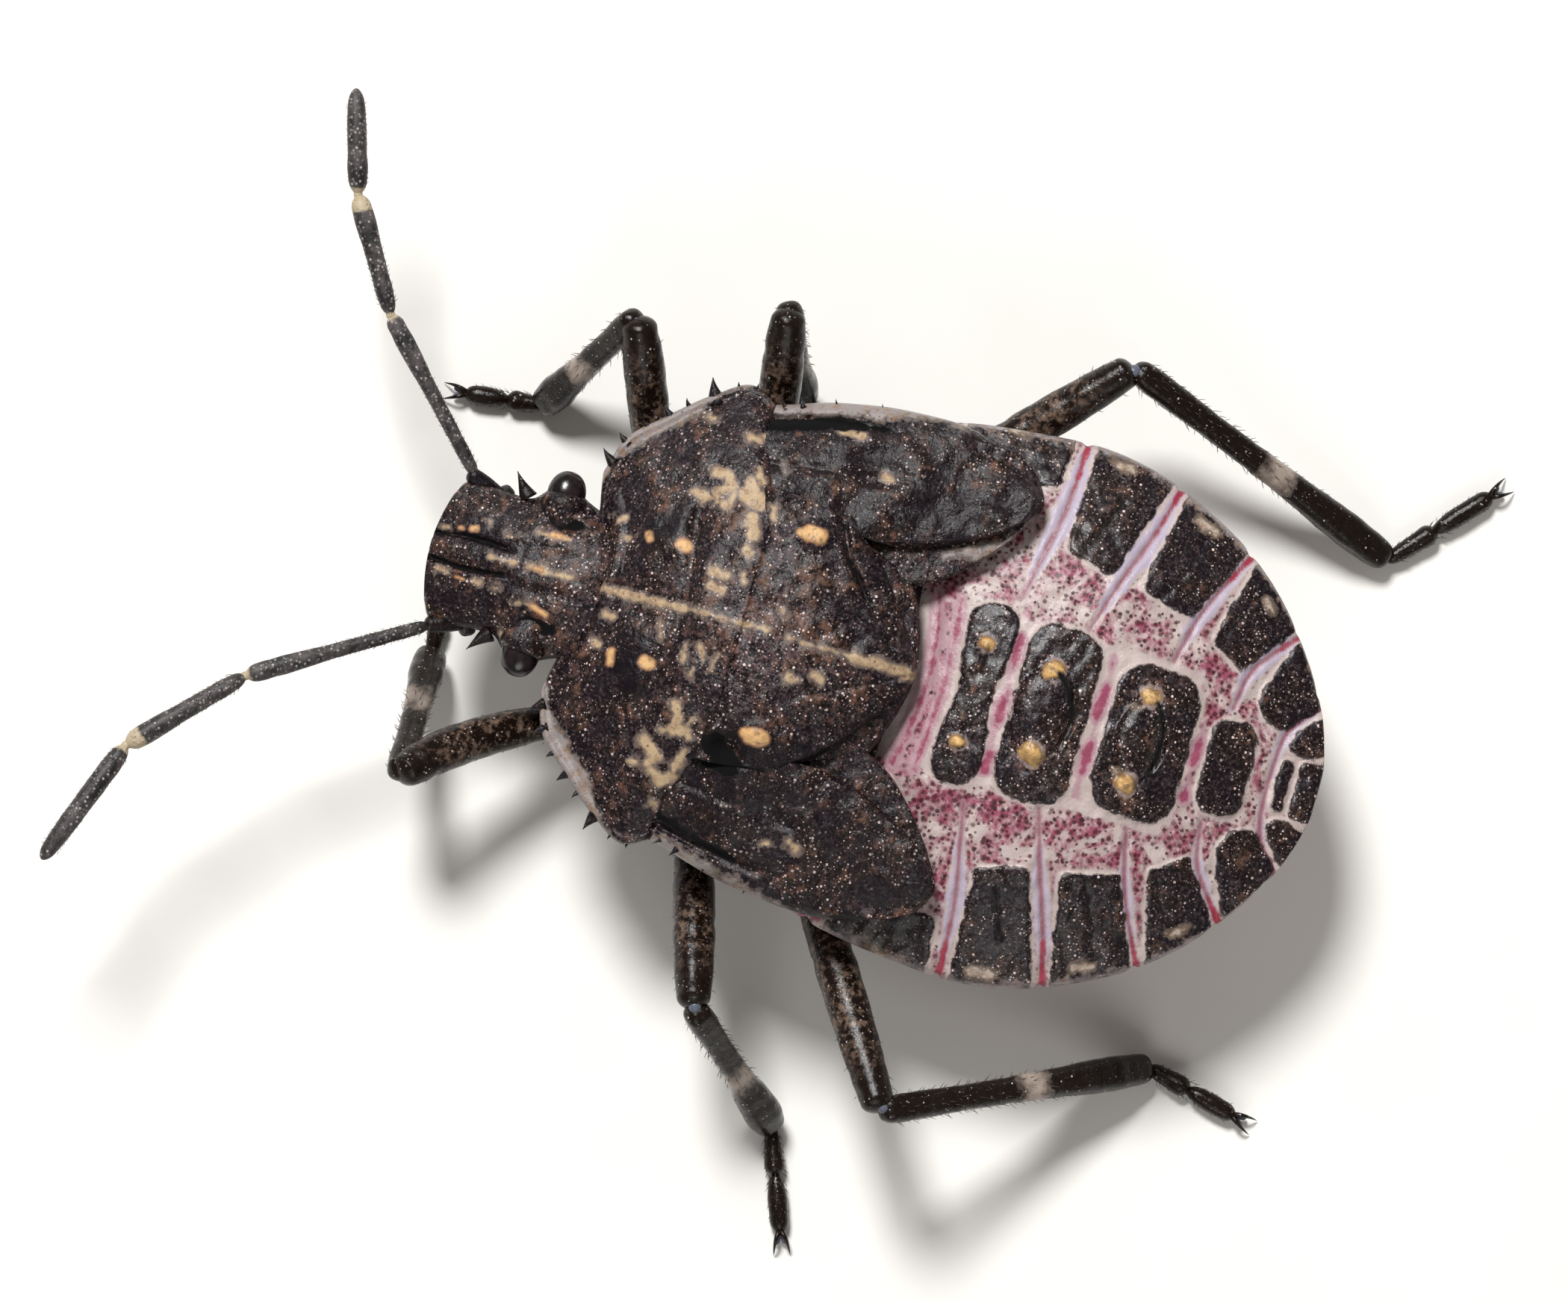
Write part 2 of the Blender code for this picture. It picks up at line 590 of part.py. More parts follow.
def build_thorax():
    """The rest of the thorax, with the scutellum and its calluses and the plate behind it."""
    s, t = np.meshgrid(both_sides([0, 0.25, 0.5, 0.7, 0.88, 1.0]), np.linspace(0, 1, 7))
    x = s * THORAX_HALF
    front = pronotum_back_y(x) + GAP
    y = front + t * (waist_y(x) - 0.5 * GAP - front)
    out = np.abs(s)
    block = pillow(x, y, THORAX_RIM[1] + THORAX_RISE * (1 - out * out), thorax_under(x))

    s, t = np.meshgrid(both_sides([0, 0.3, 0.6, 0.84, 1.0]), np.linspace(0, 1, 12))
    middle_y = PRONOTUM_BACK_Y + GAP + t * (SCUTELLUM_TIP_Y - PRONOTUM_BACK_Y - GAP)
    x = s * scutellum_half(middle_y)
    y = middle_y + (1 - t) * (pronotum_back_y(x) - PRONOTUM_BACK_Y)
    edge = scutellum_ridge(middle_y) - SCUTELLUM_EDGE_DROP + 0.1 * t
    top = edge + (scutellum_ridge(middle_y) - edge) * (1 - s * s)
    bottom = between(SCUTELLUM_UNDER, ease((y - 3.3) / 0.45))
    scutellum = pillow(x, y, top, bottom)

    s, t = np.meshgrid(both_sides([0, 0.4, 0.75, 1.0]), np.linspace(0, 1, 6))
    y = between(METANOTUM_Y, t) - 0.12 * t * (1 - s * s)
    x = s * between(METANOTUM_HALF, t)
    top = between(METANOTUM_TOP, t) - 0.1 * s * s
    metanotum = pillow(x, y, top, between(METANOTUM_UNDER, ease((y - 3.35) / 0.35)))

    cx, cy, radius = CALLUS
    height = float(scutellum_ridge(np.array(cy))) - CALLUS_DROP
    calluses = [ball((side * cx, cy, height), (radius, 1.2 * radius, 0.1), 8, 4) for side in (-1, 1)]
    name_node(union([block, scutellum, metanotum, *calluses]), "thorax", SHELL)


def pad_top(s, t):
    """Height of a wing pad, high at its inner root and bevelled down at its outer margin."""
    crown = between((between(PAD_INNER_Z, t), between(PAD_OUTER_Z, t)), s ** 1.6)
    return crown - PAD_BEVEL * ease((s - 0.88) / 0.12)


def build_wing_pads():
    """Both fore wing pads, each with the strip of hind wing pad that shows below it."""
    for side, word in ((-1, "right"), (1, "left")):
        s_stops = [0, 0.12, 0.3, 0.5, 0.7, 0.88, 1.0]
        x, y, s, t = patch(PAD_FRONT, PAD_BACK, PAD_INNER, PAD_OUTER, s_stops, np.linspace(0, 1, 13))
        top = pad_top(s, t)
        upper = pillow(side * x, y, top, top - PAD_THICK)
        x, y, s, t = patch(
            UNDERPAD_FRONT, UNDERPAD_BACK, UNDERPAD_INNER, UNDERPAD_OUTER,
            [0, 0.2, 0.6, 1.0], np.linspace(0, 1, 7)
        )
        top = UNDERPAD_Z - 0.02 * t - 0.06 * s
        lower = pillow(side * x, y, top, top - UNDERPAD_THICK)
        name_node(union([upper, lower]), "wing_pad_" + word, SHELL)


def rounded_quad(corners, count, squareness):
    """A loop of points in a four-cornered outline with rounded corners."""
    turn = 2 * np.pi * (np.arange(count) + 0.5) / count
    u = np.sign(np.cos(turn)) * np.abs(np.cos(turn)) ** squareness
    v = np.sign(np.sin(turn)) * np.abs(np.sin(turn)) ** squareness
    u = 0.5 + 0.5 * u
    v = 0.5 + 0.5 * v
    a, b, c, d = (np.array(corner, float) for corner in corners)
    first = a + u[:, None] * (b - a)
    second = d + u[:, None] * (c - d)
    return first + v[:, None] * (second - first)


def back_plate(middle, half, length, pinch):
    """One plate on the middle line, with a waist where pinch is above zero."""
    turn = 2 * np.pi * (np.arange(16) + 0.5) / 16
    x = half * np.sign(np.cos(turn)) * np.abs(np.cos(turn)) ** 0.6
    y = length * np.sign(np.sin(turn)) * np.abs(np.sin(turn)) ** 0.6
    y = y * (1.0 - pinch * (1.0 - ease(np.abs(x) / half)))
    return np.column_stack([x, middle + y])


def build_abdomen():
    """The abdomen with its raised plates, the swellings and openings of the scent glands."""
    rows = [WAIST_Y + 0.5 * GAP, 4.08]
    for end, following in zip(SEGMENT_ENDS, [*SEGMENT_ENDS[1:], 9.8]):
        rows += [end, end + 0.11]
        if following - end > 0.6:
            rows.append(0.5 * (end + following))
        rows.append(following - 0.11)
    rows += [9.82, ABDOMEN_END_Y]
    rows = np.array(sorted(set(np.round(rows, 3))))
    s, middle_y = np.meshgrid(both_sides([0, 0.17, 0.34, 0.52, 0.7, 0.86, 1.0]), rows)
    half = abdomen_outline(middle_y)
    x = s * half
    y = middle_y + (waist_y(x) - WAIST_Y) * ease((5.4 - middle_y) / 1.5)
    out = np.abs(s)
    low = np.full_like(x, RIM_Z - RIM_WALL)
    fullness = 1.35 - 0.55 * ease((middle_y - 4.6) / 1.8)
    body = pillow(x, y, abdomen_top(x, middle_y), belly(out, low, abdomen_keel(middle_y), fullness))
    pieces = [body]
    for middle, half_width, length, pinch in BACK_PLATES:
        pieces.append(raised_plate(back_plate(middle, half_width, length, pinch), abdomen_top))
    for middle, half_width, length in SWELLINGS:
        height = float(abdomen_top(np.array(0.0), np.array(middle))) + PLATE_RISE
        pieces.append(ball((0.0, middle, height - 0.03), (half_width, length, 0.13), 12, 6))
    for side in (-1, 1):
        for corners in (*SIDE_PLATES, TAIL_LOBE):
            loop = rounded_quad(corners, 12, 0.42) * np.array([side, 1.0])
            pieces.append(raised_plate(loop, abdomen_top, inner_ring=False))
        for gx, gy, radius in GLANDS:
            height = float(abdomen_top(np.array(gx), np.array(gy))) + PLATE_RISE
            pieces.append(ball((side * gx, gy, height), (radius, radius, 0.12), 8, 4))
    name_node(union(pieces), "abdomen", BELLY_PALE)


def setback(back, ahead, radius, next_radius):
    """How far a segment stops short of its joint, so that the next one clears it by the gap.

    back and ahead are unit vectors from the joint along the two segments.
    """
    cosine = float(back @ ahead)
    sine = max(float(np.sqrt(1.0 - cosine * cosine)), 0.3)
    if cosine <= 0.0:
        return next_radius + GAP
    return (next_radius + GAP + radius * cosine) / sine


def segment(start, end, radii, stops, behind, stub, stub_radius):
    """One leg segment with a rounded joint at its start and a stub back along the last segment."""
    start = np.asarray(start, float)
    end = np.asarray(end, float)
    path = start + np.asarray(stops)[:, None] * (end - start)
    pieces = [tube(path, radii)]
    pieces.append(ball(start, (JOINT_SWELL * max(radii[0], stub_radius),) * 3))
    if stub > 0.05:
        pieces.append(tube((start, start + stub * behind), (0.98 * radii[0], stub_radius)))
    return union(pieces)


def flatten_foot(piece):
    """Presses what reaches below the floor flat on it."""
    for point in piece.data.vertices:
        point.co.z = max(point.co.z, 0.0)


def build_tarsus(name, ankle, tip, behind, stub):
    """A foot of two segments that lies along the floor and ends in two claws."""
    ahead = unit(tip - ankle)
    stops = np.array([0.0, 0.28, 0.42, 0.52, 0.85, 1.0])
    widths = np.array([1.0, 1.0, 0.7, 0.92, 0.85, TARSUS_END / TARSUS_RADIUS])
    radii = TARSUS_RADIUS * widths
    path = ankle + stops[:, None] * (tip - ankle)
    path[:, 2] = radii * np.cos(np.pi / LIMB_SIDES)
    path = np.concatenate([[path[0] + max(stub, 0.1) * behind], path])
    radii = np.concatenate([[TARSUS_RADIUS], radii])
    pieces = [tube(path, radii)]
    across = np.array([-ahead[1], ahead[0], 0.0])
    root = path[-1] - 0.08 * ahead
    for side in (-1, 1):
        aim = unit(ahead + side * CLAW_SPREAD * across)
        bend = root + (0.08 + 0.55 * CLAW_LENGTH) * aim + np.array([0.0, 0.0, 0.03])
        claw_tip = bend + 0.6 * CLAW_LENGTH * unit(ahead + 0.3 * side * across) - np.array([0.0, 0.0, 0.09])
        pieces.append(tube((root, bend, claw_tip), (CLAW_RADIUS, 0.75 * CLAW_RADIUS, 0.02), 6))
    foot = union(pieces)
    flatten_foot(foot)
    finish(foot.data)
    name_node(foot, name, LEG_BLACK)


def underside(word, x, y):
    """Height of the body's underside where a leg grows."""
    if word.startswith("fore"):
        return float(prothorax_under(np.array(x), np.array(y)))
    return float(thorax_under(np.array(x)))


def build_leg(word, coxa_place, knee, ankle, tip):
    """Coxa, femur, tibia and tarsus of one leg, each stopping short of its joint by the gap."""
    cx, cy = coxa_place
    step = 0.05
    slope = (underside(word, cx + step, cy) - underside(word, cx - step, cy)) / (2 * step)
    down = unit((slope, 0.0, -1.0))
    root = np.array([cx, cy, underside(word, cx, cy)]) + GAP * down
    lean = unit(down + COXA_LEAN * unit((knee[0] - cx, knee[1] - cy, 0.0)))
    hip = root + COXA_LENGTH * lean
    knee = np.array(knee, float)
    ankle = np.array([*ankle, TARSUS_RADIUS * np.cos(np.pi / LIMB_SIDES)])
    tip = np.array([*tip, ankle[2]])
    thigh = unit(knee - hip)
    shin = unit(ankle - knee)
    foot = unit(tip - ankle)

    short = setback(-lean, thigh, COXA_RADIUS * COXA_TAPER, HIP_RADIUS)
    coxa_end = hip - min(short, COXA_LENGTH - 0.18) * lean
    coxa = tube((root, coxa_end), (COXA_RADIUS, COXA_RADIUS * COXA_TAPER))
    name_node(coxa, word + "_coxa", LEG_BLACK)

    stub = np.linalg.norm(hip - coxa_end) - GAP
    short = setback(-thigh, shin, KNEE_RADIUS, KNEE_RADIUS)
    end = knee - short * thigh
    radii = FEMUR_RADIUS * np.array([HIP_RADIUS / FEMUR_RADIUS, 0.9, 1.0, 1.0, 0.86, 0.8])
    femur = segment(hip, end, radii, (0, 0.14, 0.35, 0.65, 0.9, 1), -lean, stub, HIP_RADIUS)
    name_node(femur, word + "_femur", LEG_BLACK)

    stub = short - GAP
    short = setback(-shin, foot, TIBIA_RADIUS, TARSUS_RADIUS)
    end = ankle - short * shin
    radii = TIBIA_RADIUS * np.array([KNEE_RADIUS / TIBIA_RADIUS, 0.92, 0.92, 1.0, 1.04, 0.9])
    tibia = segment(knee, end, radii, (0, 0.1, 0.5, 0.85, 0.95, 1), -thigh, stub, KNEE_RADIUS)
    name_node(tibia, word + "_tibia", LEG_BLACK)

    build_tarsus(word + "_tarsus", ankle, tip, -shin, short - GAP)


def main():
    clear_scene()
    build_head()
    build_feelers()
    build_beak()
    build_pronotum()
    build_thorax()
    build_wing_pads()
    build_abdomen()
    for word, joints in LEGS.items():
        build_leg(word, *joints)


main()
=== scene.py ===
# %% [markdown]
# # A shield bug nymph at life size
# The animal is a stink bug of the last stage before it is adult: a flat, shield-shaped body of black,
# pitted plates, wing pads instead of wings, and a pale, stretchy abdomen with red specks between its
# plates. The CAD solids already give its outline, size and pose. Each step below replaces some of them
# by a fine surface. Every shape is a formula on a grid, because a formula keeps the sizes of the real
# insect in plain sight and can be made as fine as the close view needs.

import math

import bpy
import numpy as np
from mathutils import Matrix, Vector


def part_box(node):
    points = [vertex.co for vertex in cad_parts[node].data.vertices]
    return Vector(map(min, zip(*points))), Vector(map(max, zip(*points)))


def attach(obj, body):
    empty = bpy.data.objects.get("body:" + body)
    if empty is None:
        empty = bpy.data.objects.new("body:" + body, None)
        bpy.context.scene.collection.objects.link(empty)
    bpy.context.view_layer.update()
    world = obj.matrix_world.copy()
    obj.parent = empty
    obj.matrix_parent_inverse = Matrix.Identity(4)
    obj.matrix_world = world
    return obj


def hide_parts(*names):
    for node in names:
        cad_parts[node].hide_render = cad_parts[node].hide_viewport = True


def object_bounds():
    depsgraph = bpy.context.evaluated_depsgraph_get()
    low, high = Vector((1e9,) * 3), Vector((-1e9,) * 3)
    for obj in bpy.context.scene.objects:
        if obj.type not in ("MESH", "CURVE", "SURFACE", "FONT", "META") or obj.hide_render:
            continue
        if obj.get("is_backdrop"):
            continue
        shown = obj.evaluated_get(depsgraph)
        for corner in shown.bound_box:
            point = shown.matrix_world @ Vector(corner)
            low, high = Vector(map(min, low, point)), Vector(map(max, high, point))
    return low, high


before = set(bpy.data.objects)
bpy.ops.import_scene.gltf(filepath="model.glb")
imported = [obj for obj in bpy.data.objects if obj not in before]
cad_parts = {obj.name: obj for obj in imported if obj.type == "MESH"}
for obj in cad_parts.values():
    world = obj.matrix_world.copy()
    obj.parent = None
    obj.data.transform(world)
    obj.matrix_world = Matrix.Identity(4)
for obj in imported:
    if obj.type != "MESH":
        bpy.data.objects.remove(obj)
cad_low, cad_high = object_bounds()
print("CAD box in mm:", [round(1000 * (b - a), 2) for a, b in zip(cad_low, cad_high)])

# %% [markdown]
# ## Where the bug lies
# Insect plates are drawn from above, so all sizes here are millimetres in the bug's own plan: y runs
# from the head (minus) to the tail (plus), x is zero on the middle line and grows to the bug's left,
# and (0, 0) is the middle of the front edge of the pronotum, the plate behind the head. The frame says
# where that plan lies: the pronotum is the same left and right, so the middle of its box is the
# middle line, and the tail's tip is the end of the abdomen's box.

# %% The bug's plan in the frame
MM = 0.001
TAIL_TIP_Y = 9.93
collar_low, collar_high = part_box("pronotum")
HOME = np.array([0.5 * (collar_low.x + collar_high.x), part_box("abdomen")[1].y - TAIL_TIP_Y * MM, 0.0])
print("the plan's zero point in the frame, in mm:", np.round(1000 * HOME, 3))

# %% [markdown]
# ## Camera
# A close-up lens looks down on the bug's back from 12 cm, leaning a little to its left side, and is
# turned so that the head points to the left of the picture. The lens follows from the field: 21 mm
# across the picture's width at that distance.

# %% Camera
RANGE = 120.0
FIELD_WIDTH = 21.0
SENSOR = 36.0
LEAN = math.radians(4.0)
TURN = math.radians(16.0)
AIM = np.array([0.115, 2.508, 3.0])

back = np.array([math.sin(LEAN), 0.0, math.cos(LEAN)])
right = np.array([-math.sin(TURN) * math.cos(LEAN), math.cos(TURN), math.sin(TURN) * math.sin(LEAN)])
up = np.cross(back, right)
camera = bpy.data.objects.new("camera", bpy.data.cameras.new("camera"))
camera.data.sensor_width = SENSOR
camera.data.lens = SENSOR * RANGE / FIELD_WIDTH
camera.data.clip_start = 0.001
camera.data.clip_end = 10.0
turn = Matrix([[right[k], up[k], back[k]] for k in range(3)]).to_4x4()
camera.matrix_world = Matrix.Translation(Vector(HOME + MM * (AIM + RANGE * back))) @ turn
bpy.context.scene.collection.objects.link(camera)
bpy.context.scene.camera = camera
print("lens in mm:", round(camera.data.lens, 1))

# %% [markdown]
# ## Colours and nodes
# Colours are read off as the hex values that a screen shows, and the renderer wants linear light, so
# one function turns them. A second small function adds a node with its settings and links: that is
# all a procedural material needs. Pattern sizes are real spacings in millimetres, turned to the scale
# of a pattern that repeats once for each unit.

# %% Helpers for materials
def linear(code):
    """The linear colour of an sRGB hex code: each channel is divided by 12.92 below 0.04, and above it
    is (channel + 0.055) / 1.055 to the power 2.4."""
    channels = [int(code[k:k + 2], 16) / 255 for k in (1, 3, 5)]
    return (*[c / 12.92 if c < 0.04045 else ((c + 0.055) / 1.055) ** 2.4 for c in channels], 1.0)


def add(tree, kind, inputs=None, **settings):
    """Adds a node of a kind, with its own settings, and feeds each named input a value or a socket."""
    node = tree.nodes.new(kind)
    for name, value in settings.items():
        setattr(node, name, value)
    for key, value in (inputs or {}).items():
        if isinstance(value, bpy.types.NodeSocket):
            tree.links.new(value, node.inputs[key])
        else:
            node.inputs[key].default_value = value
    return node


def per(spacing):
    """Texture scale for a pattern with one cell in that many millimetres."""
    return 1000.0 / spacing


def new_material(name):
    """An empty material with its Principled shader and Object coordinates: (tree, shader, coordinates)."""
    material = bpy.data.materials.new(name)
    material.use_nodes = True
    tree = material.node_tree
    place = add(tree, "ShaderNodeTexCoord").outputs["Object"]
    return material, tree, tree.nodes["Principled BSDF"], place


# %% [markdown]
# ## Floor and light
# A plain pale sheet under the bug and soft studio light: one wide lamp from the right side of its
# body, a weaker one from the left, and a bright even surround. The lamps are tiny in watts, because
# they stand only a hand's breadth away.

# %% Floor, lamps and surround
material, tree, shader, place = new_material("floor_matt_paper")
fibres = add(tree, "ShaderNodeTexNoise", {"Vector": place, "Scale": per(2.5), "Detail": 6.0})
tone = add(tree, "ShaderNodeMixRGB",
           {"Fac": fibres.outputs["Fac"], "Color1": linear("#dcdad5"), "Color2": linear("#e6e4df")})
tree.links.new(tone.outputs["Color"], shader.inputs["Base Color"])
shader.inputs["Roughness"].default_value = 0.8
FLOOR_HALF = 1.5
corners = [(-FLOOR_HALF, -FLOOR_HALF, 0), (FLOOR_HALF, -FLOOR_HALF, 0), (FLOOR_HALF, FLOOR_HALF, 0),
           (-FLOOR_HALF, FLOOR_HALF, 0)]
floor_mesh = bpy.data.meshes.new("floor")
floor_mesh.from_pydata(corners, [], [(0, 1, 2, 3)])
floor_mesh.materials.append(material)
floor = bpy.data.objects.new("floor", floor_mesh)
bpy.context.scene.collection.objects.link(floor)
floor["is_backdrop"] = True

MIDDLE = Vector((0.0, 0.0, 0.002))
for name, spot, size, watts in (
    ("key_light", (-0.12, -0.085, 0.215), 0.07, 0.9),
    ("fill_light", (0.2, 0.05, 0.18), 0.16, 0.18),
):
    lamp = bpy.data.lights.new(name, "AREA")
    lamp.shape = "DISK"
    lamp.size = size
    lamp.energy = watts
    light = bpy.data.objects.new(name, lamp)
    light.location = spot
    light.rotation_euler = (MIDDLE - Vector(spot)).to_track_quat("-Z", "Y").to_euler()
    bpy.context.scene.collection.objects.link(light)
world = bpy.data.worlds.new("studio")
world.use_nodes = True
world.node_tree.nodes["Background"].inputs["Color"].default_value = linear("#f3eeec")
world.node_tree.nodes["Background"].inputs["Strength"].default_value = 0.28
bpy.context.scene.world = world
bpy.context.scene.view_settings.view_transform = "Standard"

# %% [markdown]
# ## Shapes from formulas
# A body plate is worked out on a grid: each row is a closed ring round the body at one y, over the
# back from right to left and under it back again. Rings stacked along y close to a point at both
# ends, which makes a sealed surface. Legs and feelers are rings along a path. numpy works out whole
# arrays at once, so a plate with fifty thousand points takes a blink.

# %% Curves
def ease(t):
    """A smooth step: 3 t squared less 2 t cubed, held between 0 and 1."""
    t = np.clip(t, 0.0, 1.0)
    return t * t * (3.0 - 2.0 * t)


def between(ends, t):
    """The value at fraction t of the way from the first end to the second."""
    return ends[0] + (ends[1] - ends[0]) * t


def curve(keys, values, at):
    """Cubic Hermite curve through values at keys, with centred slopes."""
    keys = np.asarray(keys, float)
    values = np.asarray(values, float).reshape(len(keys), -1)
    slopes = np.gradient(values, keys, axis=0)
    at = np.clip(np.asarray(at, float), keys[0], keys[-1])
    k = np.clip(np.searchsorted(keys, at, side="right") - 1, 0, len(keys) - 2)
    span = keys[k + 1] - keys[k]
    t = ((at - keys[k]) / span)[..., None]
    span = span[..., None]
    start = (1 + 2 * t) * (1 - t) ** 2 * values[k] + t * (1 - t) ** 2 * span * slopes[k]
    end = t * t * (3 - 2 * t) * values[k + 1] + t * t * (t - 1) * span * slopes[k + 1]
    return start + end


def profile(*pairs):
    """A smooth function through (key, value) pairs."""
    keys = [pair[0] for pair in pairs]
    values = [pair[1] for pair in pairs]
    return lambda at: curve(keys, values, at)[..., 0]


def along(points, t):
    """The points at fractions t of a smooth curve through points, by chord length."""
    points = np.asarray(points, float)
    steps = np.linalg.norm(np.diff(points, axis=0), axis=1)
    keys = np.concatenate([[0.0], np.cumsum(steps)]) / steps.sum()
    return curve(keys, points, t)


def unit(vectors):
    """Vectors scaled to length 1 along the last axis."""
    vectors = np.asarray(vectors, float)
    return vectors / np.maximum(np.linalg.norm(vectors, axis=-1, keepdims=True), 1e-12)


def uneven(x, y, size, seed, waves=20):
    """Uneven height of about -1 to 1: sines of random direction and of a wave length near size."""
    rng = np.random.default_rng(seed)
    total = 0.0
    for _ in range(waves):
        angle = rng.uniform(0, 2 * np.pi)
        pitch = 2 * np.pi / (size * rng.uniform(0.6, 1.7))
        total = total + np.sin(pitch * (x * np.cos(angle) + y * np.sin(angle)) + rng.uniform(0, 2 * np.pi))
    return total / np.sqrt(2.0 * waves)


# %% Distances inside marks
def bar(x, y, a, b, radius):
    """Distance inside a bar with round ends: its radius less the distance to the line from a to b."""
    step = np.subtract(b, a)
    t = np.clip(((x - a[0]) * step[0] + (y - a[1]) * step[1]) / max(step @ step, 1e-9), 0, 1)
    return radius - np.hypot(x - a[0] - t * step[0], y - a[1] - t * step[1])


def bars(x, y, table):
    """Distance inside the union of bars, each (ax, ay, bx, by, radius): the largest of theirs."""
    return np.max([bar(x, y, (ax, ay), (bx, by), radius) for ax, ay, bx, by, radius in table], axis=0)


def rounded_polygon(x, y, corners, softness):
    """Distance inside a polygon with rounded corners: the soft least of the distances to its sides."""
    corners = np.asarray(corners, float)
    middle = corners.mean(axis=0)
    total = 0.0
    for a, b in zip(corners, np.roll(corners, -1, axis=0)):
        normal = unit([b[1] - a[1], a[0] - b[0]])
        normal = normal * np.sign((middle - a) @ normal)
        total = total + np.exp(-((x - a[0]) * normal[0] + (y - a[1]) * normal[1]) / softness)
    return -softness * np.log(total)


def rounded_box(x, y, middle, half, length, corner):
    """Distance inside a box on the middle line with corners of a radius."""
    qx = np.abs(x) - half + corner
    qy = np.abs(y - middle) - length + corner
    outside = np.hypot(np.maximum(qx, 0), np.maximum(qy, 0))
    return corner - outside - np.minimum(np.maximum(qx, qy), 0)


# %% Rings, parts and pieces
def sealed(rings, fields=None):
    """A part from closed rings (rows, around, 3) with a point at the middle of each end ring.

    A part is a dict of points, quads, tris and fields, one value for each point and field. Its faces
    are turned round where the volume they enclose comes out negative.
    """
    rows, around = rings.shape[:2]
    index = np.arange(rows * around).reshape(rows, around)
    ahead = np.roll(index, -1, axis=1)
    quads = np.stack([index[:-1], ahead[:-1], ahead[1:], index[1:]], axis=-1).reshape(-1, 4)
    first = rows * around
    tris = np.concatenate([
        np.stack([ahead[0], index[0], np.full(around, first)], axis=-1),
        np.stack([index[-1], ahead[-1], np.full(around, first + 1)], axis=-1),
    ])
    points = np.concatenate([rings.reshape(-1, 3), rings[:1].mean(axis=1), rings[-1:].mean(axis=1)])
    a, b, c, d = (points[quads[:, k]] for k in range(4))
    volume = np.einsum("ij,ij->", a, np.cross(b, c)) + np.einsum("ij,ij->", a, np.cross(c, d))
    if volume < 0:
        quads, tris = quads[:, ::-1], tris[:, ::-1]
    values = {}
    for name, field in (fields or {}).items():
        field = np.broadcast_to(field, (rows, around))
        values[name] = np.concatenate([field.ravel(), [field[0].mean(), field[-1].mean()]])
    return {"points": points, "quads": quads, "tris": tris, "fields": values}


def joined(parts):
    """One part from several, with -1, which is outside every mark, where a part lacks a field."""
    names = sorted({name for part in parts for name in part["fields"]})
    starts = np.concatenate([[0], np.cumsum([len(part["points"]) for part in parts])])
    return {
        "points": np.concatenate([part["points"] for part in parts]),
        "quads": np.concatenate([part["quads"] + start for part, start in zip(parts, starts)]),
        "tris": np.concatenate([part["tris"] + start for part, start in zip(parts, starts)]),
        "fields": {
            name: np.concatenate([
                part["fields"].get(name, np.full(len(part["points"]), -1.0)) for part in parts
            ]) for name in names
        },
    }


def mirrored(part):
    """The same part on the other side of the middle line, its faces turned so that they point out."""
    other = dict(part)
    other["points"] = part["points"] * np.array([-1.0, 1.0, 1.0])
    other["quads"] = part["quads"][:, ::-1]
    other["tris"] = part["tris"][:, ::-1]
    return other


def set_piece(name, part, material, nodes=(), bake_map=None):
    """Makes a part one object in the frame, which rides on the body and stands for the solids named."""
    mesh = bpy.data.meshes.new(name)
    points = HOME + MM * part["points"]
    corners = np.concatenate([part["quads"].ravel(), part["tris"].ravel()]).astype(np.int32)
    counts = np.concatenate([np.full(len(part["quads"]), 4), np.full(len(part["tris"]), 3)])
    mesh.vertices.add(len(points))
    mesh.vertices.foreach_set("co", points.astype(np.float32).ravel())
    mesh.loops.add(len(corners))
    mesh.loops.foreach_set("vertex_index", corners)
    mesh.polygons.add(len(counts))
    mesh.polygons.foreach_set("loop_start", (np.cumsum(counts) - counts).astype(np.int32))
    mesh.update(calc_edges=True)
    mesh.validate()
    for field, values in part["fields"].items():
        attribute = mesh.attributes.new(field, "FLOAT", "POINT")
        attribute.data.foreach_set("value", values.astype(np.float32))
    if bake_map is not None:
        layer = mesh.uv_layers.new(name="OFBake")
        layer.data.foreach_set("uv", bake_map[corners].astype(np.float32).ravel())
    mesh.shade_smooth()
    mesh.materials.append(material)
    piece = bpy.data.objects.new(name, mesh)
    bpy.context.scene.collection.objects.link(piece)
    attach(piece, "root")
    if nodes:
        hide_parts(*nodes)
    triangles = 2 * len(part["quads"]) + len(part["tris"])
    print(f"{name}: {triangles} triangles, {np.round(np.ptp(part['points'], axis=0), 2)} mm")
    return piece


def over_and_under(plan, top, under, columns, under_columns, t):
    """Closed rings round a body, and 1 for each point of its upper side.

    plan(s, t) gives x and y, top and under give z from (x, y, s, t). s runs over the back from -1 to 1
    and under the body back again, and t from front to back.
    """
    s, t_up = np.meshgrid(np.linspace(-1, 1, columns), t)
    x, y = plan(s, t_up)
    upper = np.stack([x, y, top(x, y, s, t_up)], axis=-1)
    s, t_down = np.meshgrid(np.linspace(1, -1, under_columns + 2)[1:-1], t)
    x, y = plan(s, t_down)
    lower = np.stack([x, y, under(x, y, s, t_down)], axis=-1)
    is_upper = np.concatenate([np.ones(upper.shape[:2]), np.zeros(lower.shape[:2])], axis=1)
    return np.concatenate([upper, lower], axis=1), is_upper


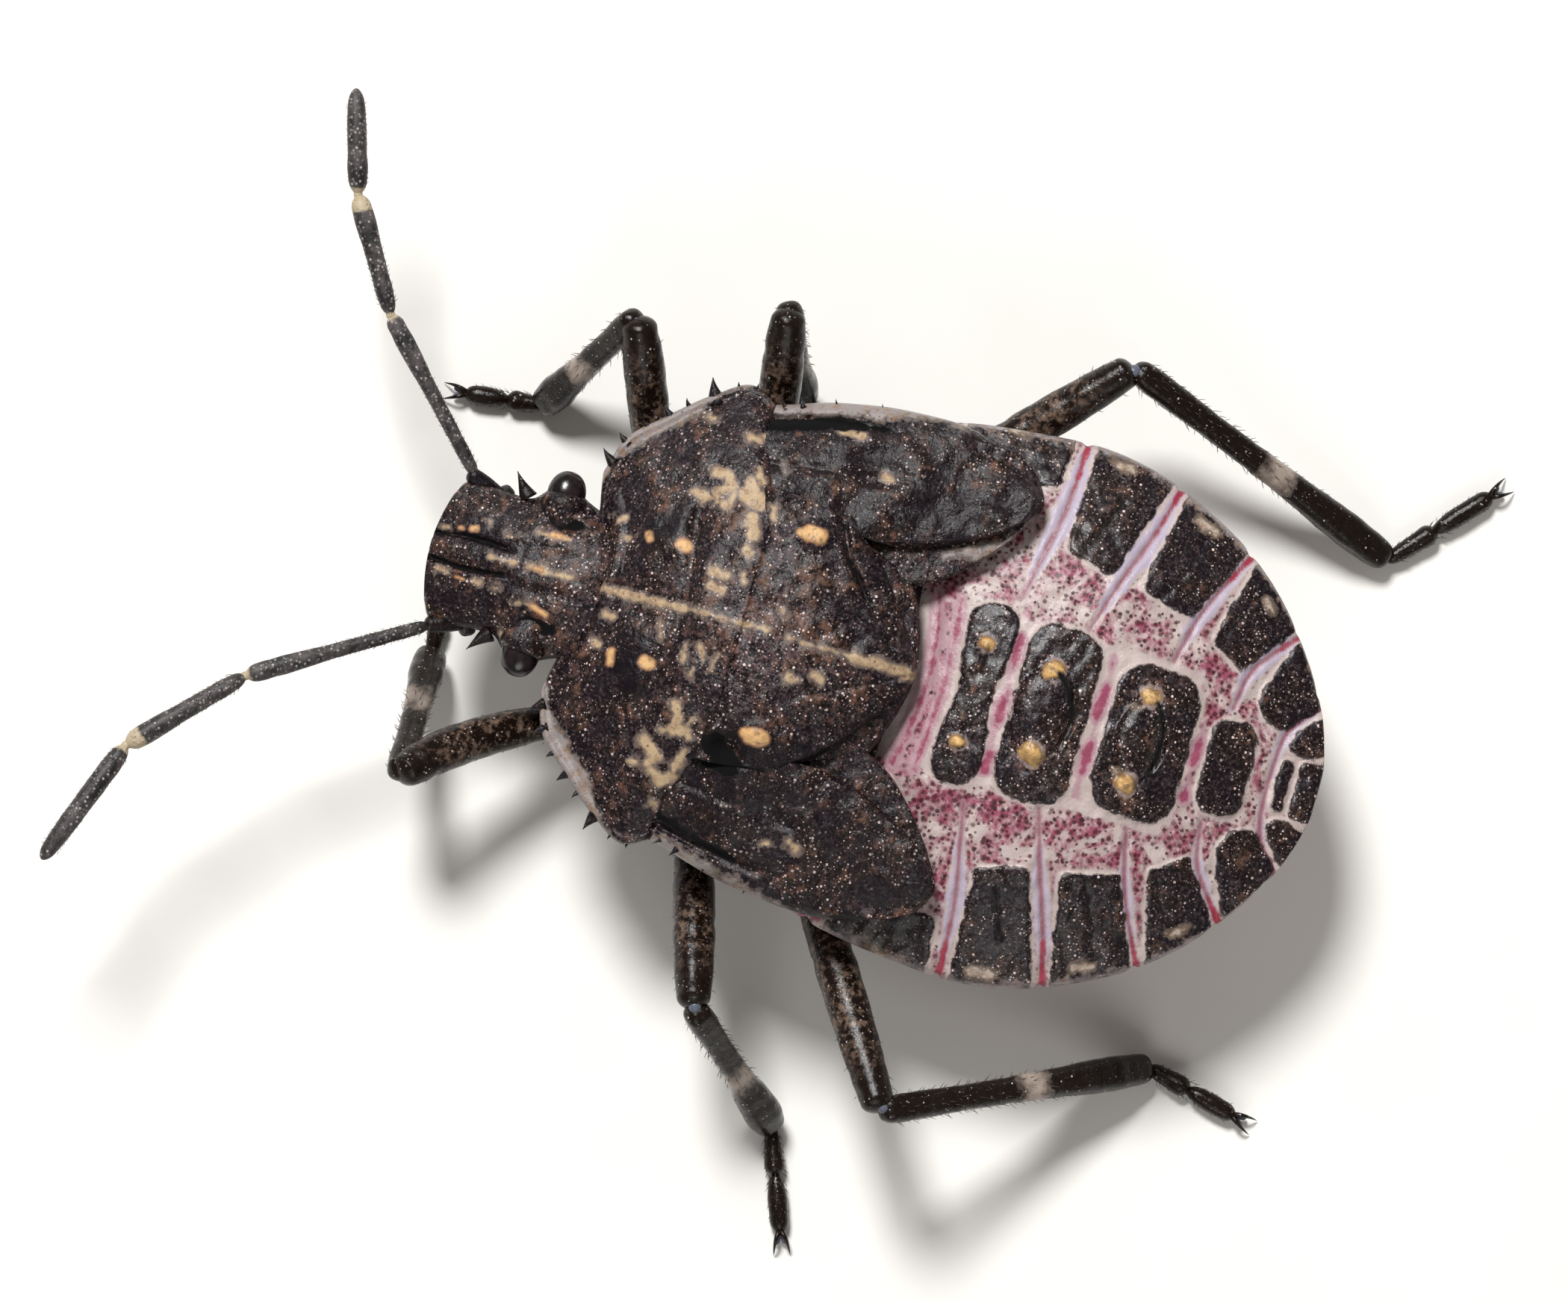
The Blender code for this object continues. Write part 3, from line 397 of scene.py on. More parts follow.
def round_ends(rings, front, rear, steps=7):
    """Adds rings that close each end like half an egg: they shrink by the cosine and move out by the
    sine of an angle that runs to 90 degrees, times front or rear millimetres along y."""
    angle = np.linspace(0, 0.5 * np.pi, steps + 1)[1:-1]
    shrink, out = np.cos(angle)[:, None, None], np.sin(angle)[:, None, None]
    ends = []
    for ring, reach in ((rings[0], -front), (rings[-1], rear)):
        middle = ring.mean(axis=0)
        ends.append(middle + shrink * (ring - middle) + out * np.array([0.0, reach, 0.0]))
    return np.concatenate([ends[0][::-1], rings, ends[1]])


def padded_field(field, steps=7):
    """Repeats a field's end rows for the rings that round_ends adds."""
    return np.concatenate([np.repeat(field[:1], steps - 1, axis=0), field, np.repeat(field[-1:], steps - 1, axis=0)])


# %% [markdown]
# ## The black plates
# A bug's plates are sclerotised cuticle, chitin hardened and tanned almost black. Close up they are
# not plain black: broad clouds of brown black and violet black, the violet partly a painted sheen, a
# grey bloom, and pits as fine as powder. Each pit holds a pale speck, partly whitish wax and partly a
# painted glint of light. The pits are too small for mesh, so a cell pattern draws each as a pale speck
# and a dent. Grooves and hollows are painted near black as shade. Cream and orange spots come from
# distances kept on the points, in millimetres, and a fine noise frays their edges as the real ones are
# frayed.

# %% Layers of a black plate
FOLD_SIZE = 0.5
MOTTLE_SIZE = 0.14
GRIT_SIZE = 0.05
PIT_SPACING = 0.072
PIT_RADIUS = 0.0195
# Finer pale specks, partly whitish wax and partly painted glints of light.
FINE_GLINT_SPACING = 0.045
FINE_GLINT_RADIUS = 0.0125


def frayed(tree, place, name, fray=0.09, soft=0.02, spread=0.0):
    """A mask from a field of distances, in mm: 1 inside the mark, which grows by spread, with an edge
    moved by fine noise."""
    field = add(tree, "ShaderNodeAttribute", attribute_name=name).outputs["Fac"]
    noise = add(tree, "ShaderNodeTexNoise", {"Vector": place, "Scale": per(0.2), "Detail": 4.0,
                                           "Roughness": 0.62})
    push = add(tree, "ShaderNodeMath", {0: noise.outputs["Fac"], 1: fray, 2: spread - 0.5 * fray},
               operation="MULTIPLY_ADD")
    edge = add(tree, "ShaderNodeMath", {0: field, 1: push.outputs["Value"]}, operation="ADD")
    mask = add(tree, "ShaderNodeMapRange", {"Value": edge.outputs["Value"], "From Min": -soft, "From Max": soft})
    return mask.outputs["Result"]


def marks_over(tree, place, colour, table):
    """The colour with each (field, hex, fray, spread) mark of the table laid over it in turn."""
    for name, code, fray, spread in table:
        mask = frayed(tree, place, name, fray, 0.02, spread)
        colour = add(tree, "ShaderNodeMixRGB", {"Fac": mask, "Color1": colour, "Color2": linear(code)}).outputs["Color"]
    return colour


def specks(tree, place, spacing, radius, rarity, dimensions="3D"):
    """A mask of round specks: each cell of spacing mm holds a ball of up to radius mm, and a speck shows
    where the ball meets the surface. Each is dimmed by a random number to the power rarity. Also a
    random number of each cell. In two dimensions the specks are drawn from above, one in each cell."""
    cells = add(tree, "ShaderNodeTexVoronoi", {"Vector": place, "Scale": per(spacing)},
                voronoi_dimensions=dimensions)
    chance = add(tree, "ShaderNodeSeparateColor", {"Color": cells.outputs["Color"]})
    size = add(tree, "ShaderNodeMath", {0: chance.outputs["Green"], 1: 0.6, 2: 0.4}, operation="MULTIPLY_ADD")
    near = add(tree, "ShaderNodeMath", {0: cells.outputs["Distance"], 1: size.outputs["Value"]}, operation="DIVIDE")
    reach = radius / spacing
    dot = add(tree, "ShaderNodeMapRange",
              {"Value": near.outputs["Value"], "From Min": 1.25 * reach, "From Max": 0.75 * reach})
    bright = add(tree, "ShaderNodeMath", {0: chance.outputs["Red"], 1: rarity}, operation="POWER")
    mask = add(tree, "ShaderNodeMath", {0: dot.outputs["Result"], 1: bright.outputs["Value"]}, operation="MULTIPLY")
    return mask.outputs["Value"], chance.outputs["Blue"]


def plate_layers(tree, place, table, brown_from=0.72):
    """Colour, roughness and height sockets of pitted black cuticle, with the marks of a table on it.
    The higher brown_from, the fewer brown mottles."""
    folds = add(tree, "ShaderNodeTexNoise", {"Vector": place, "Scale": per(FOLD_SIZE), "Detail": 4.0,
                                             "Roughness": 0.6, "Distortion": 0.3}).outputs["Fac"]
    mottles = add(tree, "ShaderNodeTexNoise", {"Vector": place, "Scale": per(MOTTLE_SIZE), "Detail": 5.0,
                                               "Roughness": 0.7}).outputs["Fac"]
    grit = add(tree, "ShaderNodeTexNoise", {"Vector": place, "Scale": per(GRIT_SIZE), "Detail": 3.0,
                                            "Roughness": 0.7}).outputs["Fac"]
    frost = add(tree, "ShaderNodeAttribute", attribute_name="frost").outputs["Fac"]
    # Violet black and brown black in soft folds; the violet is partly a painted sheen.
    tint = add(tree, "ShaderNodeMapRange", {"Value": folds, "From Min": 0.42, "From Max": 0.58})
    base = add(tree, "ShaderNodeMixRGB", {"Fac": tint.outputs["Result"], "Color1": linear("#0d050c"),
                                          "Color2": linear("#130907")})
    mixed = add(tree, "ShaderNodeMath", {0: folds, 1: 0.4, 2: mottles}, operation="MULTIPLY_ADD")
    mixed = add(tree, "ShaderNodeMath", {0: frost, 1: 0.12, 2: mixed.outputs["Value"]}, operation="MULTIPLY_ADD")
    brown = add(tree, "ShaderNodeMapRange", {"Value": mixed.outputs["Value"], "From Min": brown_from, "From Max": brown_from + 0.2})
    browns = add(tree, "ShaderNodeMixRGB", {"Fac": tint.outputs["Result"], "Color1": linear("#3f2b32"),
                                            "Color2": linear("#624435")})
    base = add(tree, "ShaderNodeMixRGB", {"Fac": brown.outputs["Result"], "Color1": base.outputs["Color"],
                                          "Color2": browns.outputs["Color"]})
    dusty = add(tree, "ShaderNodeMath", {0: frost, 1: 0.6, 2: 0.24}, operation="MULTIPLY_ADD", use_clamp=True)
    grey = add(tree, "ShaderNodeMapRange", {"Value": grit, "From Min": 0.5, "From Max": 0.7,
                                            "To Max": dusty.outputs["Value"]})
    base = add(tree, "ShaderNodeMixRGB", {"Fac": grey.outputs["Result"], "Color1": base.outputs["Color"],
                                          "Color2": linear("#84706d")})
    marked = marks_over(tree, place, base.outputs["Color"], table)
    cream = frayed(tree, place, "cream", 0.2)
    orange = frayed(tree, place, "orange", 0.1)
    light = add(tree, "ShaderNodeMath", {0: cream, 1: orange}, operation="MAXIMUM").outputs["Value"]
    light = add(tree, "ShaderNodeMath", {0: frayed(tree, place, "pale", 0.4), 1: light},
                operation="MAXIMUM").outputs["Value"]
    shade = add(tree, "ShaderNodeMapRange", {"Value": mottles, "From Min": 0.52, "From Max": 0.34, "To Max": light})
    marked = add(tree, "ShaderNodeMixRGB", {"Fac": shade.outputs["Result"], "Color1": marked,
                                            "Color2": linear("#806650")}).outputs["Color"]
    # Pale specks in the pits at two sizes: partly whitish wax, partly painted glints of light.
    pits, hue = specks(tree, place, PIT_SPACING, PIT_RADIUS, 1.6)
    dust_and_glints, _ = specks(tree, place, FINE_GLINT_SPACING, FINE_GLINT_RADIUS, 2.0)
    glints = add(tree, "ShaderNodeMath", {0: pits, 1: dust_and_glints}, operation="MAXIMUM").outputs["Value"]
    crowd = add(tree, "ShaderNodeMath", {0: folds, 1: 5.0, 2: -1.75}, operation="MULTIPLY_ADD").outputs["Value"]
    crowd = add(tree, "ShaderNodeMath", {0: crowd, 1: frost}, operation="ADD", use_clamp=True).outputs["Value"]
    # Painted shade: where grooves and dents are drawn near black, no specks show and the surface is matt.
    painted_shade_mask = frayed(tree, place, "hollow", 0.25)
    covered = add(tree, "ShaderNodeMath", {0: painted_shade_mask, 1: light}, operation="MAXIMUM")
    bare = add(tree, "ShaderNodeMath", {0: crowd, 1: covered.outputs["Value"]}, operation="SUBTRACT",
               use_clamp=True).outputs["Value"]
    speck = add(tree, "ShaderNodeMath", {0: glints, 1: bare}, operation="MULTIPLY")
    dark = add(tree, "ShaderNodeMath", {0: pits, 1: light}, operation="MULTIPLY")
    dark = add(tree, "ShaderNodeMath", {0: dark.outputs["Value"], 1: orange}, operation="SUBTRACT", use_clamp=True)
    marked = add(tree, "ShaderNodeMixRGB", {"Fac": dark.outputs["Value"], "Color1": marked,
                                            "Color2": linear("#4b3a33")}).outputs["Color"]
    # The colour of the specks: whitish wax with a painted glint.
    glint = add(tree, "ShaderNodeMixRGB", {"Fac": hue, "Color1": linear("#d6c6d0"), "Color2": linear("#dbc2b0")})
    colour = add(tree, "ShaderNodeMixRGB", {"Fac": speck.outputs["Value"], "Color1": marked,
                                            "Color2": glint.outputs["Color"]})
    rough = add(tree, "ShaderNodeMapRange", {"Value": mottles, "From Min": 0.3, "From Max": 0.7,
                                             "To Min": 0.2, "To Max": 0.46})
    rough = add(tree, "ShaderNodeMath", {0: rough.outputs["Result"], 1: painted_shade_mask}, operation="MAXIMUM")
    height = add(tree, "ShaderNodeMath", {0: folds, 1: 3.0, 2: mottles}, operation="MULTIPLY_ADD")
    return colour.outputs["Color"], rough.outputs["Value"], height.outputs["Value"]


def finish_shader(tree, shader, colour, rough, height, relief):
    """Feeds the shader, with a bump whose full height is relief millimetres."""
    bump = add(tree, "ShaderNodeBump", {"Height": height, "Distance": relief * MM, "Strength": 1.0})
    tree.links.new(bump.outputs["Normal"], shader.inputs["Normal"])
    tree.links.new(colour, shader.inputs["Base Color"])
    tree.links.new(rough, shader.inputs["Roughness"])


material, tree, shader, place = new_material("black_plate_sclerotised_cuticle")
colour, rough, height = plate_layers(tree, place, (
    ("pale", "#5a524e", 0.4, 0.03), ("pale", "#857d7b", 0.4, -0.03), ("cream", "#5f524b", 0.34, 0.045),
    ("cream", "#a99274", 0.2, -0.002), ("orange", "#8a644c", 0.1, 0.012), ("orange", "#c79f6b", 0.08, -0.012),
    # Painted shade: near black in grooves, creases and dents.
    ("hollow", "#030203", 0.25, 0.0),
))
finish_shader(tree, shader, colour, rough, height, 0.022)
shader.inputs["Specular IOR Level"].default_value = 0.24
plate_material = material

# %% [markdown]
# ## Head
# Seen from above the head is a blunt square. A narrow middle lobe lies between two deep grooves, the
# side lobes reach as far forward, a black spine stands in front of each eye, and the eyes sit on the
# hind corners like knobs. The outline, the ridge line and the rim are curves along y, and grooves and
# hollows are bell curves taken off the height.

# %% Head
HEAD_TIP_Y = -2.44
HEAD_BACK_Y = 0.2
COLLAR_X = 1.55
COLLAR_DROP = 0.48
head_half = profile(
    (-2.46, 0.74), (-2.38, 0.9), (-2.2, 0.97), (-1.9, 0.97), (-1.6, 0.95), (-1.3, 0.97), (-1.12, 1.1), (-0.9, 1.22),
    (-0.66, 1.22), (-0.45, 1.1), (-0.2, 1.0), (0.2, 0.92)
)
head_ridge = profile((-2.46, 2.5), (-1.7, 2.9), (-0.9, 3.18), (-0.25, 3.3), (0.2, 3.2))
head_rim = profile((-2.46, 2.42), (-1.7, 2.56), (-0.9, 2.8), (-0.2, 2.9))
head_keel = profile((-2.46, 2.1), (-2.1, 1.88), (-1.2, 1.84), (-0.2, 2.0))
groove_x = profile((-2.46, 0.17), (-2.0, 0.21), (-1.6, 0.2), (-1.2, 0.15))


def collar_y(x):
    """Front edge of the pronotum, hollowed for the head."""
    return -COLLAR_DROP * np.abs(x / COLLAR_X) ** 3


def head_plan(s, t):
    """x is s times the half width; y runs from the arched, twice notched front edge to the collar."""
    middle_y = HEAD_TIP_Y + t * (HEAD_BACK_Y - HEAD_TIP_Y)
    x = s * head_half(middle_y)
    front = HEAD_TIP_Y + 0.12 * s * s + 0.05 * np.exp(-((np.abs(x) - 0.17) / 0.035) ** 2)
    return x, front + t * (collar_y(x) + HEAD_BACK_Y - front)


def head_top(x, y, s, t):
    """Rim plus a dome of power 2.4, less grooves beside the middle lobe and hollows inside the eyes."""
    rim = head_rim(y)
    z = rim + (head_ridge(y) - rim) * (1.0 - np.abs(s) ** 2.4)
    before = ease((-1.25 - y) / 0.25)
    z = z - 0.085 * before * np.exp(-((np.abs(x) - groove_x(y)) / 0.035) ** 2)
    z = z + 0.035 * before * np.exp(-((x / 0.13) ** 2)) + 0.03 * before * np.exp(-(((np.abs(x) - 0.6) / 0.25) ** 2))
    z = z - 0.1 * np.exp(-(((np.abs(x) - 0.72) / 0.1) ** 2) - ((y + 0.75) / 0.2) ** 2)
    z = z - 0.03 * np.exp(-(((np.abs(x) - 0.28) / 0.1) ** 2) - ((y + 0.75) / 0.4) ** 2)
    z = z - 0.08 * ease((np.abs(s) - 0.93) / 0.07) ** 2
    return z + 0.008 * uneven(x, y, 0.28, 1)


def head_under(x, y, s, t):
    """From the rim, 0.15 mm thick, down to the keel."""
    rim = head_rim(y) - 0.15
    return rim - (rim - head_keel(y)) * np.clip(1.0 - s * s, 0, 1) ** 0.7


HEAD_CREAM = (
    (-0.5, -1.08, -0.5, -0.9, 0.024), (-0.01, -1.62, -0.03, -1.3, 0.022), (-0.03, -1.06, 0.0, -0.86, 0.037),
    (0.0, -0.86, -0.02, -0.5, 0.020), (0.49, -1.12, 0.47, -0.92, 0.024), (0.92, -1.2, 0.92, -1.14, 0.020),
    (0.3, -2.28, 0.32, -2.12, 0.020), (0.36, -1.74, 0.36, -1.68, 0.024), (0.36, -1.48, 0.38, -1.42, 0.024),
    (-0.26, -2.34, -0.27, -2.28, 0.017), (-0.34, -1.48, -0.36, -1.4, 0.014), (-0.5, -1.83, -0.48, -1.76, 0.014),
)
HEAD_ORANGE = (
    (-0.52, -0.9, -0.52, -0.68, 0.035), (0.48, -0.9, 0.54, -0.7, 0.035), (-0.33, -1.97, -0.35, -1.91, 0.03),
    (-0.3, -2.14, -0.31, -2.1, 0.02), (0.35, -2.0, 0.36, -1.9, 0.018), (-0.02, -1.0, -0.01, -0.92, 0.025),
)


def plate_fields(rings, is_upper, cream=None, orange=None, pale=None, hollow=None, frost=0.0):
    """The mark fields of a black plate, outside every mark where none is given or seen, and its grey bloom, which also
    sets how many pale specks and painted glints show. The near-black mark is painted shade.
    """
    fields = {"frost": np.broadcast_to(frost, rings.shape[:2])}
    for name, value in (("cream", cream), ("orange", orange), ("pale", pale), ("hollow", hollow)):
        fields[name] = np.full(rings.shape[:2], -1.0) if value is None else np.where(is_upper > 0, value, -1.0)
    return fields


rings, is_upper = over_and_under(head_plan, head_top, head_under, 150, 50, np.linspace(0, 1, 150))
rings, is_upper = round_ends(rings, 0.05, 0.05), padded_field(is_upper)
x, y = rings[..., 0], rings[..., 1]
# Painted shade: near black in the grooves beside the middle lobe and in the hollows inside the eyes.
hollow = 0.02 - np.abs(np.abs(x) - groove_x(y)) - 0.3 * ease((y + 1.35) / 0.2)
hollow = np.maximum(hollow, bars(np.abs(x), y, ((0.72, -0.92, 0.74, -0.6, 0.09),)))
frost = 0.4 * ease((y + 1.1) / 0.7) - 0.12
fields = plate_fields(rings, is_upper, bars(x, y, HEAD_CREAM), bars(x, y, HEAD_ORANGE), None, hollow, frost)
head_parts = [sealed(rings, fields)]

# %% [markdown]
# ## Tubes, thorns and eyes
# Everything long and round, from a leg to a thorn, is rings carried along a path. The stations lie
# closer at both ends, by the cosine, so that a rounded end comes out smooth. A compound eye is such a
# tube too, as short as it is wide, with the radius of an ellipse.

# %% Tubes along a path
def stations(count):
    """Fractions from 0 to 1 that lie closer at both ends: half of 1 less the cosine."""
    return 0.5 - 0.5 * np.cos(np.linspace(0, np.pi, count))


def limb(path, radii, around=24, flat=1.0, above=(0.0, 0.0, 1.0)):
    """Rings along a path: the path plus the radius times cosine to the side and sine upwards, where
    upwards is squashed by flat. radii has one value for each station, or one for each point."""
    path = np.asarray(path, float)
    ahead = unit(np.gradient(path, axis=0))
    side = unit(np.cross(ahead, above))
    over = np.cross(side, ahead)
    angle = 2 * np.pi * np.arange(around) / around
    radii = np.asarray(radii, float)
    radii = radii[:, None] if radii.ndim == 1 else radii
    spokes = np.cos(angle)[:, None] * side[:, None] + flat * np.sin(angle)[:, None] * over[:, None]
    return path[:, None] + radii[..., None] * spokes


def domed(t, start, end):
    """A factor for radii that rounds both ends like part of a circle, over fractions start and end."""
    first = np.clip(1.0 - t / start, 0, 1)
    last = np.clip(1.0 - (1.0 - t) / end, 0, 1)
    return np.sqrt(1.0 - first ** 2) * np.sqrt(1.0 - last ** 2)


def thorn(base, tip, radius, hook=0.0, around=10, count=9):
    """A cone from base to tip whose side sinks in a little, bent towards -y by hook."""
    t = np.linspace(0, 1, count)
    path = np.asarray(base) + t[:, None] * np.subtract(tip, base)
    path = path + np.array([0.0, -hook, 0.0]) * (t * (1 - t) * 4)[:, None]
    return sealed(limb(path, radius * (0.03 + 0.97 * (1 - t) ** 1.25), around))


HEAD_SPINE = ((0.95, -1.36, 2.62), (1.25, -1.6, 2.68), 0.13)
SCAPE = ((0.86, -1.7, 2.3), (1.07, -2.24, 2.45))
SCAPE_RADIUS = 0.125
spine = thorn(*HEAD_SPINE, hook=0.01)
t = stations(40)
scape_path = np.asarray(SCAPE[0]) + t[:, None] * np.subtract(SCAPE[1], SCAPE[0])
scape = sealed(limb(scape_path, SCAPE_RADIUS * (0.82 + 0.18 * np.sin(np.pi * t)) * domed(t, 0.1, 0.12), 28))
socket_path = np.array([0.82, -1.62, 2.24]) + np.linspace(0, 1, 12)[:, None] * np.array([0.1, -0.18, 0.1])
socket = sealed(limb(socket_path, 0.19 * domed(np.linspace(0, 1, 12), 0.4, 0.25), 28))
t = np.linspace(0, 1, 24)
cup_path = np.array([0.55, -0.84, 2.82]) + t[:, None] * np.array([0.56, -0.04, 0.02])
cup_radii = profile((0.0, 0.2), (0.5, 0.29), (0.88, 0.31), (1.0, 0.26))(t)
cup = limb(cup_path, cup_radii, 60, 0.92)
cup = sealed(cup, {"frost": np.full(cup.shape[:2], -0.2)})
head_parts += [spine, mirrored(spine), scape, mirrored(scape), socket, mirrored(socket), cup, mirrored(cup)]
set_piece("head_capsule", joined(head_parts), plate_material, ("head",))

# %% Eyes
EYE_CENTRE = (1.12, -0.88, 2.82)
EYE_HALF = 0.31
EYE_RADIUS = 0.26
material, tree, shader, place = new_material("eye_faceted_cuticle")
facets = add(tree, "ShaderNodeTexVoronoi", {"Vector": place, "Scale": per(0.018), "Randomness": 0.35})
mottle = add(tree, "ShaderNodeTexNoise", {"Vector": place, "Scale": per(0.14), "Detail": 5.0, "Roughness": 0.7})
mask = add(tree, "ShaderNodeMapRange", {"Value": mottle.outputs["Fac"], "From Min": 0.45, "From Max": 0.75})
colour = add(tree, "ShaderNodeMixRGB", {"Fac": mask.outputs["Result"], "Color1": linear("#0a0607"),
                                        "Color2": linear("#2b191b")})
rough = add(tree, "ShaderNodeMapRange", {"Value": mottle.outputs["Fac"], "To Min": 0.1, "To Max": 0.3})
height = add(tree, "ShaderNodeMath", {0: 1.0, 1: facets.outputs["Distance"]}, operation="SUBTRACT")
finish_shader(tree, shader, colour.outputs["Color"], rough.outputs["Result"], height.outputs["Value"], 0.001)
t = stations(60)
path = np.array(EYE_CENTRE) + np.outer(2 * t - 1, [EYE_HALF, 0.0, 0.0])
eye = sealed(limb(path, EYE_RADIUS * np.clip(1 - (2 * t - 1) ** 2, 1e-6, 1) ** 0.45, 72, 0.85))
set_piece("compound_eye_left", eye, material, ("eye_left",))
set_piece("compound_eye_right", mirrored(eye), material, ("eye_right",))

# %% [markdown]
# ## Pronotum
# The plate behind the head is short and wide, domed, with flat, saw-toothed side edges that end in a
# shoulder. A cream line runs down its middle, an orange dot lies on each of two smooth swellings, and
# cream flecks gather at the shoulders, never quite the same left and right. The underside of the same
# rings is the first segment of the thorax, which carries the front legs.

# %% Pronotum
PRONOTUM_SIDE = ((1.55, -0.48), (2.04, -0.32), (2.5, 0.14), (2.94, 0.66), (3.2, 1.15), (3.04, 1.48))
PRONOTUM_BACK_Y = 1.91
PRONOTUM_BACK_DROP = 0.43
PRONOTUM_BACK_FLAT = 1.2
PRONOTUM_RIDGE = (3.4, 4.22)
PRONOTUM_RIM = (3.02, 3.18)
PRONOTUM_KEEL_Z = 1.62


def belly(out, low, keel, fullness):
    """Underside from its low rim to the keel, where out is 0 at the middle and 1 at the rim."""
    return low - (low - keel) * np.clip(1.0 - out * out, 0.0, 1.0) ** fullness


def pronotum_back_y(x):
    """Back edge of the pronotum, straight in the middle and drawn forward at the sides."""
    return PRONOTUM_BACK_Y - PRONOTUM_BACK_DROP * ease((np.abs(x) - PRONOTUM_BACK_FLAT) / 1.8)


def pronotum_plan(s, t):
    """Plan between the collar, the toothed sides and the back edge, blended from these edges."""
    side = along(PRONOTUM_SIDE, t)
    back_half = PRONOTUM_SIDE[-1][0]
    share = np.abs(s)
    straight_x = COLLAR_X + t * (back_half - COLLAR_X)
    straight_y = collar_y(COLLAR_X) + t * (pronotum_back_y(back_half) - collar_y(COLLAR_X))
    front_x, back_x = COLLAR_X * s, back_half * s
    x = (1 - t) * front_x + t * back_x + s * (side[..., 0] - straight_x)
    y = (1 - t) * collar_y(front_x) + t * pronotum_back_y(back_x) + share * (side[..., 1] - straight_y)
    return x, y


def pronotum_top(x, y, s, t):
    """Rim plus a dome, with a flat flange at the rim, two swellings and the furrow behind them."""
    share = np.abs(s)
    ridge = between(PRONOTUM_RIDGE, ease(0.15 + 0.85 * t))
    rim = between(PRONOTUM_RIM, t)
    dome = np.clip(share / (0.97 - 0.05 * (1 - t)), 0, 1)
    z = rim - 0.02 + (ridge - rim) * (1.0 - dome ** 2.1)
    z = z + 0.08 * np.exp(-(((np.abs(x) - 0.85) / 0.55) ** 4) - ((y - 0.52) / 0.3) ** 4)
    z = z - 0.06 * np.exp(-(((y - 1.0 - 0.08 * np.cos(2.2 * x)) / 0.1) ** 2)) * ease((1.7 - np.abs(x)) / 0.4)
    z = z - 0.03 * np.exp(-(((y - collar_y(x) - 0.14) / 0.05) ** 2)) * ease((1.5 - np.abs(x)) / 0.3)
    z = z + 0.012 * np.exp(-((x / 0.05) ** 2)) - 0.05 * ease((t - 0.965) / 0.035) ** 2
    z = z + 0.02 * np.exp(-(((share - 0.975) / 0.012) ** 2))
    z = z - 0.07 * ease((share - 0.985) / 0.015) ** 2
    return z + 0.016 * uneven(x, y, 0.42, 2) + 0.02 * uneven(x, y, 1.1, 22)


def pronotum_under(x, y, s, t):
    """Underside of the first thorax segment, from a thin rim to the keel."""
    return belly(np.abs(s), between(PRONOTUM_RIM, t) - 0.16, PRONOTUM_KEEL_Z, 1.2) + 0.012 * uneven(x, y, 0.5, 3)


def sternum(x, y):
    """Distance inside the pale strip between the legs, which widens towards the abdomen."""
    return 0.12 + 0.75 * ease((y + 0.6) / 4.0) - np.abs(x) + 0.12 * uneven(x, y, 0.5, 5) + 0.06 * uneven(x, y, 0.2, 15)


PRONOTUM_CREAM = (
    (0.0, -0.1, 0.0, 0.5, 0.048), (0.0, 0.5, 0.0, 1.1, 0.034), (0.0, 1.1, 0.0, 2.0, 0.024),
    (-0.95, -0.1, -0.99, -0.04, 0.05), (-0.74, 0.06, -0.74, 0.1, 0.045), (0.33, 0.07, 0.35, 0.16, 0.04),
    (0.73, 0.05, 0.75, 0.1, 0.04), (-2.62, 0.7, -2.62, 0.76, 0.03),
    (-0.56, 1.3, -0.56, 1.5, 0.07), (-0.38, 1.34, -0.36, 1.5, 0.04), (-0.62, 1.72, -0.56, 1.74, 0.03),
    (-0.97, 1.65, -0.93, 1.69, 0.06), (-1.4, 1.61, -1.2, 1.68, 0.075), (-1.33, 1.57, -1.3, 1.58, 0.04),
    (-1.72, 1.47, -1.65, 1.64, 0.12), (-1.87, 1.45, -1.8, 1.54, 0.06), (-1.99, 1.56, -1.92, 1.63, 0.04),
    (-2.1, 1.51, -2.01, 1.57, 0.03), (-1.87, 1.01, -1.9, 1.16, 0.06), (-1.88, 1.17, -1.77, 1.27, 0.06),
    (-1.73, 1.25, -1.67, 1.09, 0.05), (-1.61, 1.05, -1.49, 1.12, 0.04), (-1.49, 1.12, -1.49, 1.25, 0.05),
    (-1.7, 1.29, -1.53, 1.28, 0.04), (-1.54, 0.82, -1.52, 0.92, 0.065), (-1.51, 0.92, -1.54, 1.03, 0.025),
    (-2.48, 1.31, -2.47, 1.41, 0.05), (-2.54, 1.48, -2.51, 1.51, 0.03),
    (0.42, 1.42, 0.62, 1.51, 0.015), (0.47, 1.23, 0.66, 1.24, 0.015), (0.64, 1.43, 0.82, 1.4, 0.015),
    (0.47, 1.69, 0.71, 1.63, 0.008), (0.22, 0.81, 0.44, 0.87, 0.005), (1.25, 1.33, 1.41, 1.4, 0.05),
    (1.41, 1.4, 1.57, 1.37, 0.06), (1.57, 1.37, 1.63, 1.25, 0.035), (1.59, 1.38, 1.58, 1.53, 0.07),
    (1.58, 1.53, 1.64, 1.59, 0.04), (1.47, 1.54, 1.35, 1.61, 0.02), (1.82, 1.06, 1.9, 1.14, 0.07),
    (1.89, 1.15, 2.0, 1.24, 0.07), (2.0, 1.24, 2.09, 1.18, 0.04), (2.14, 0.91, 2.13, 0.98, 0.04),
    (2.2, 1.27, 2.29, 1.4, 0.065), (2.29, 1.4, 2.19, 1.52, 0.065), (2.19, 1.52, 2.02, 1.55, 0.04),
    (2.02, 1.55, 1.86, 1.59, 0.05), (2.58, 1.38, 2.62, 1.42, 0.04),
)
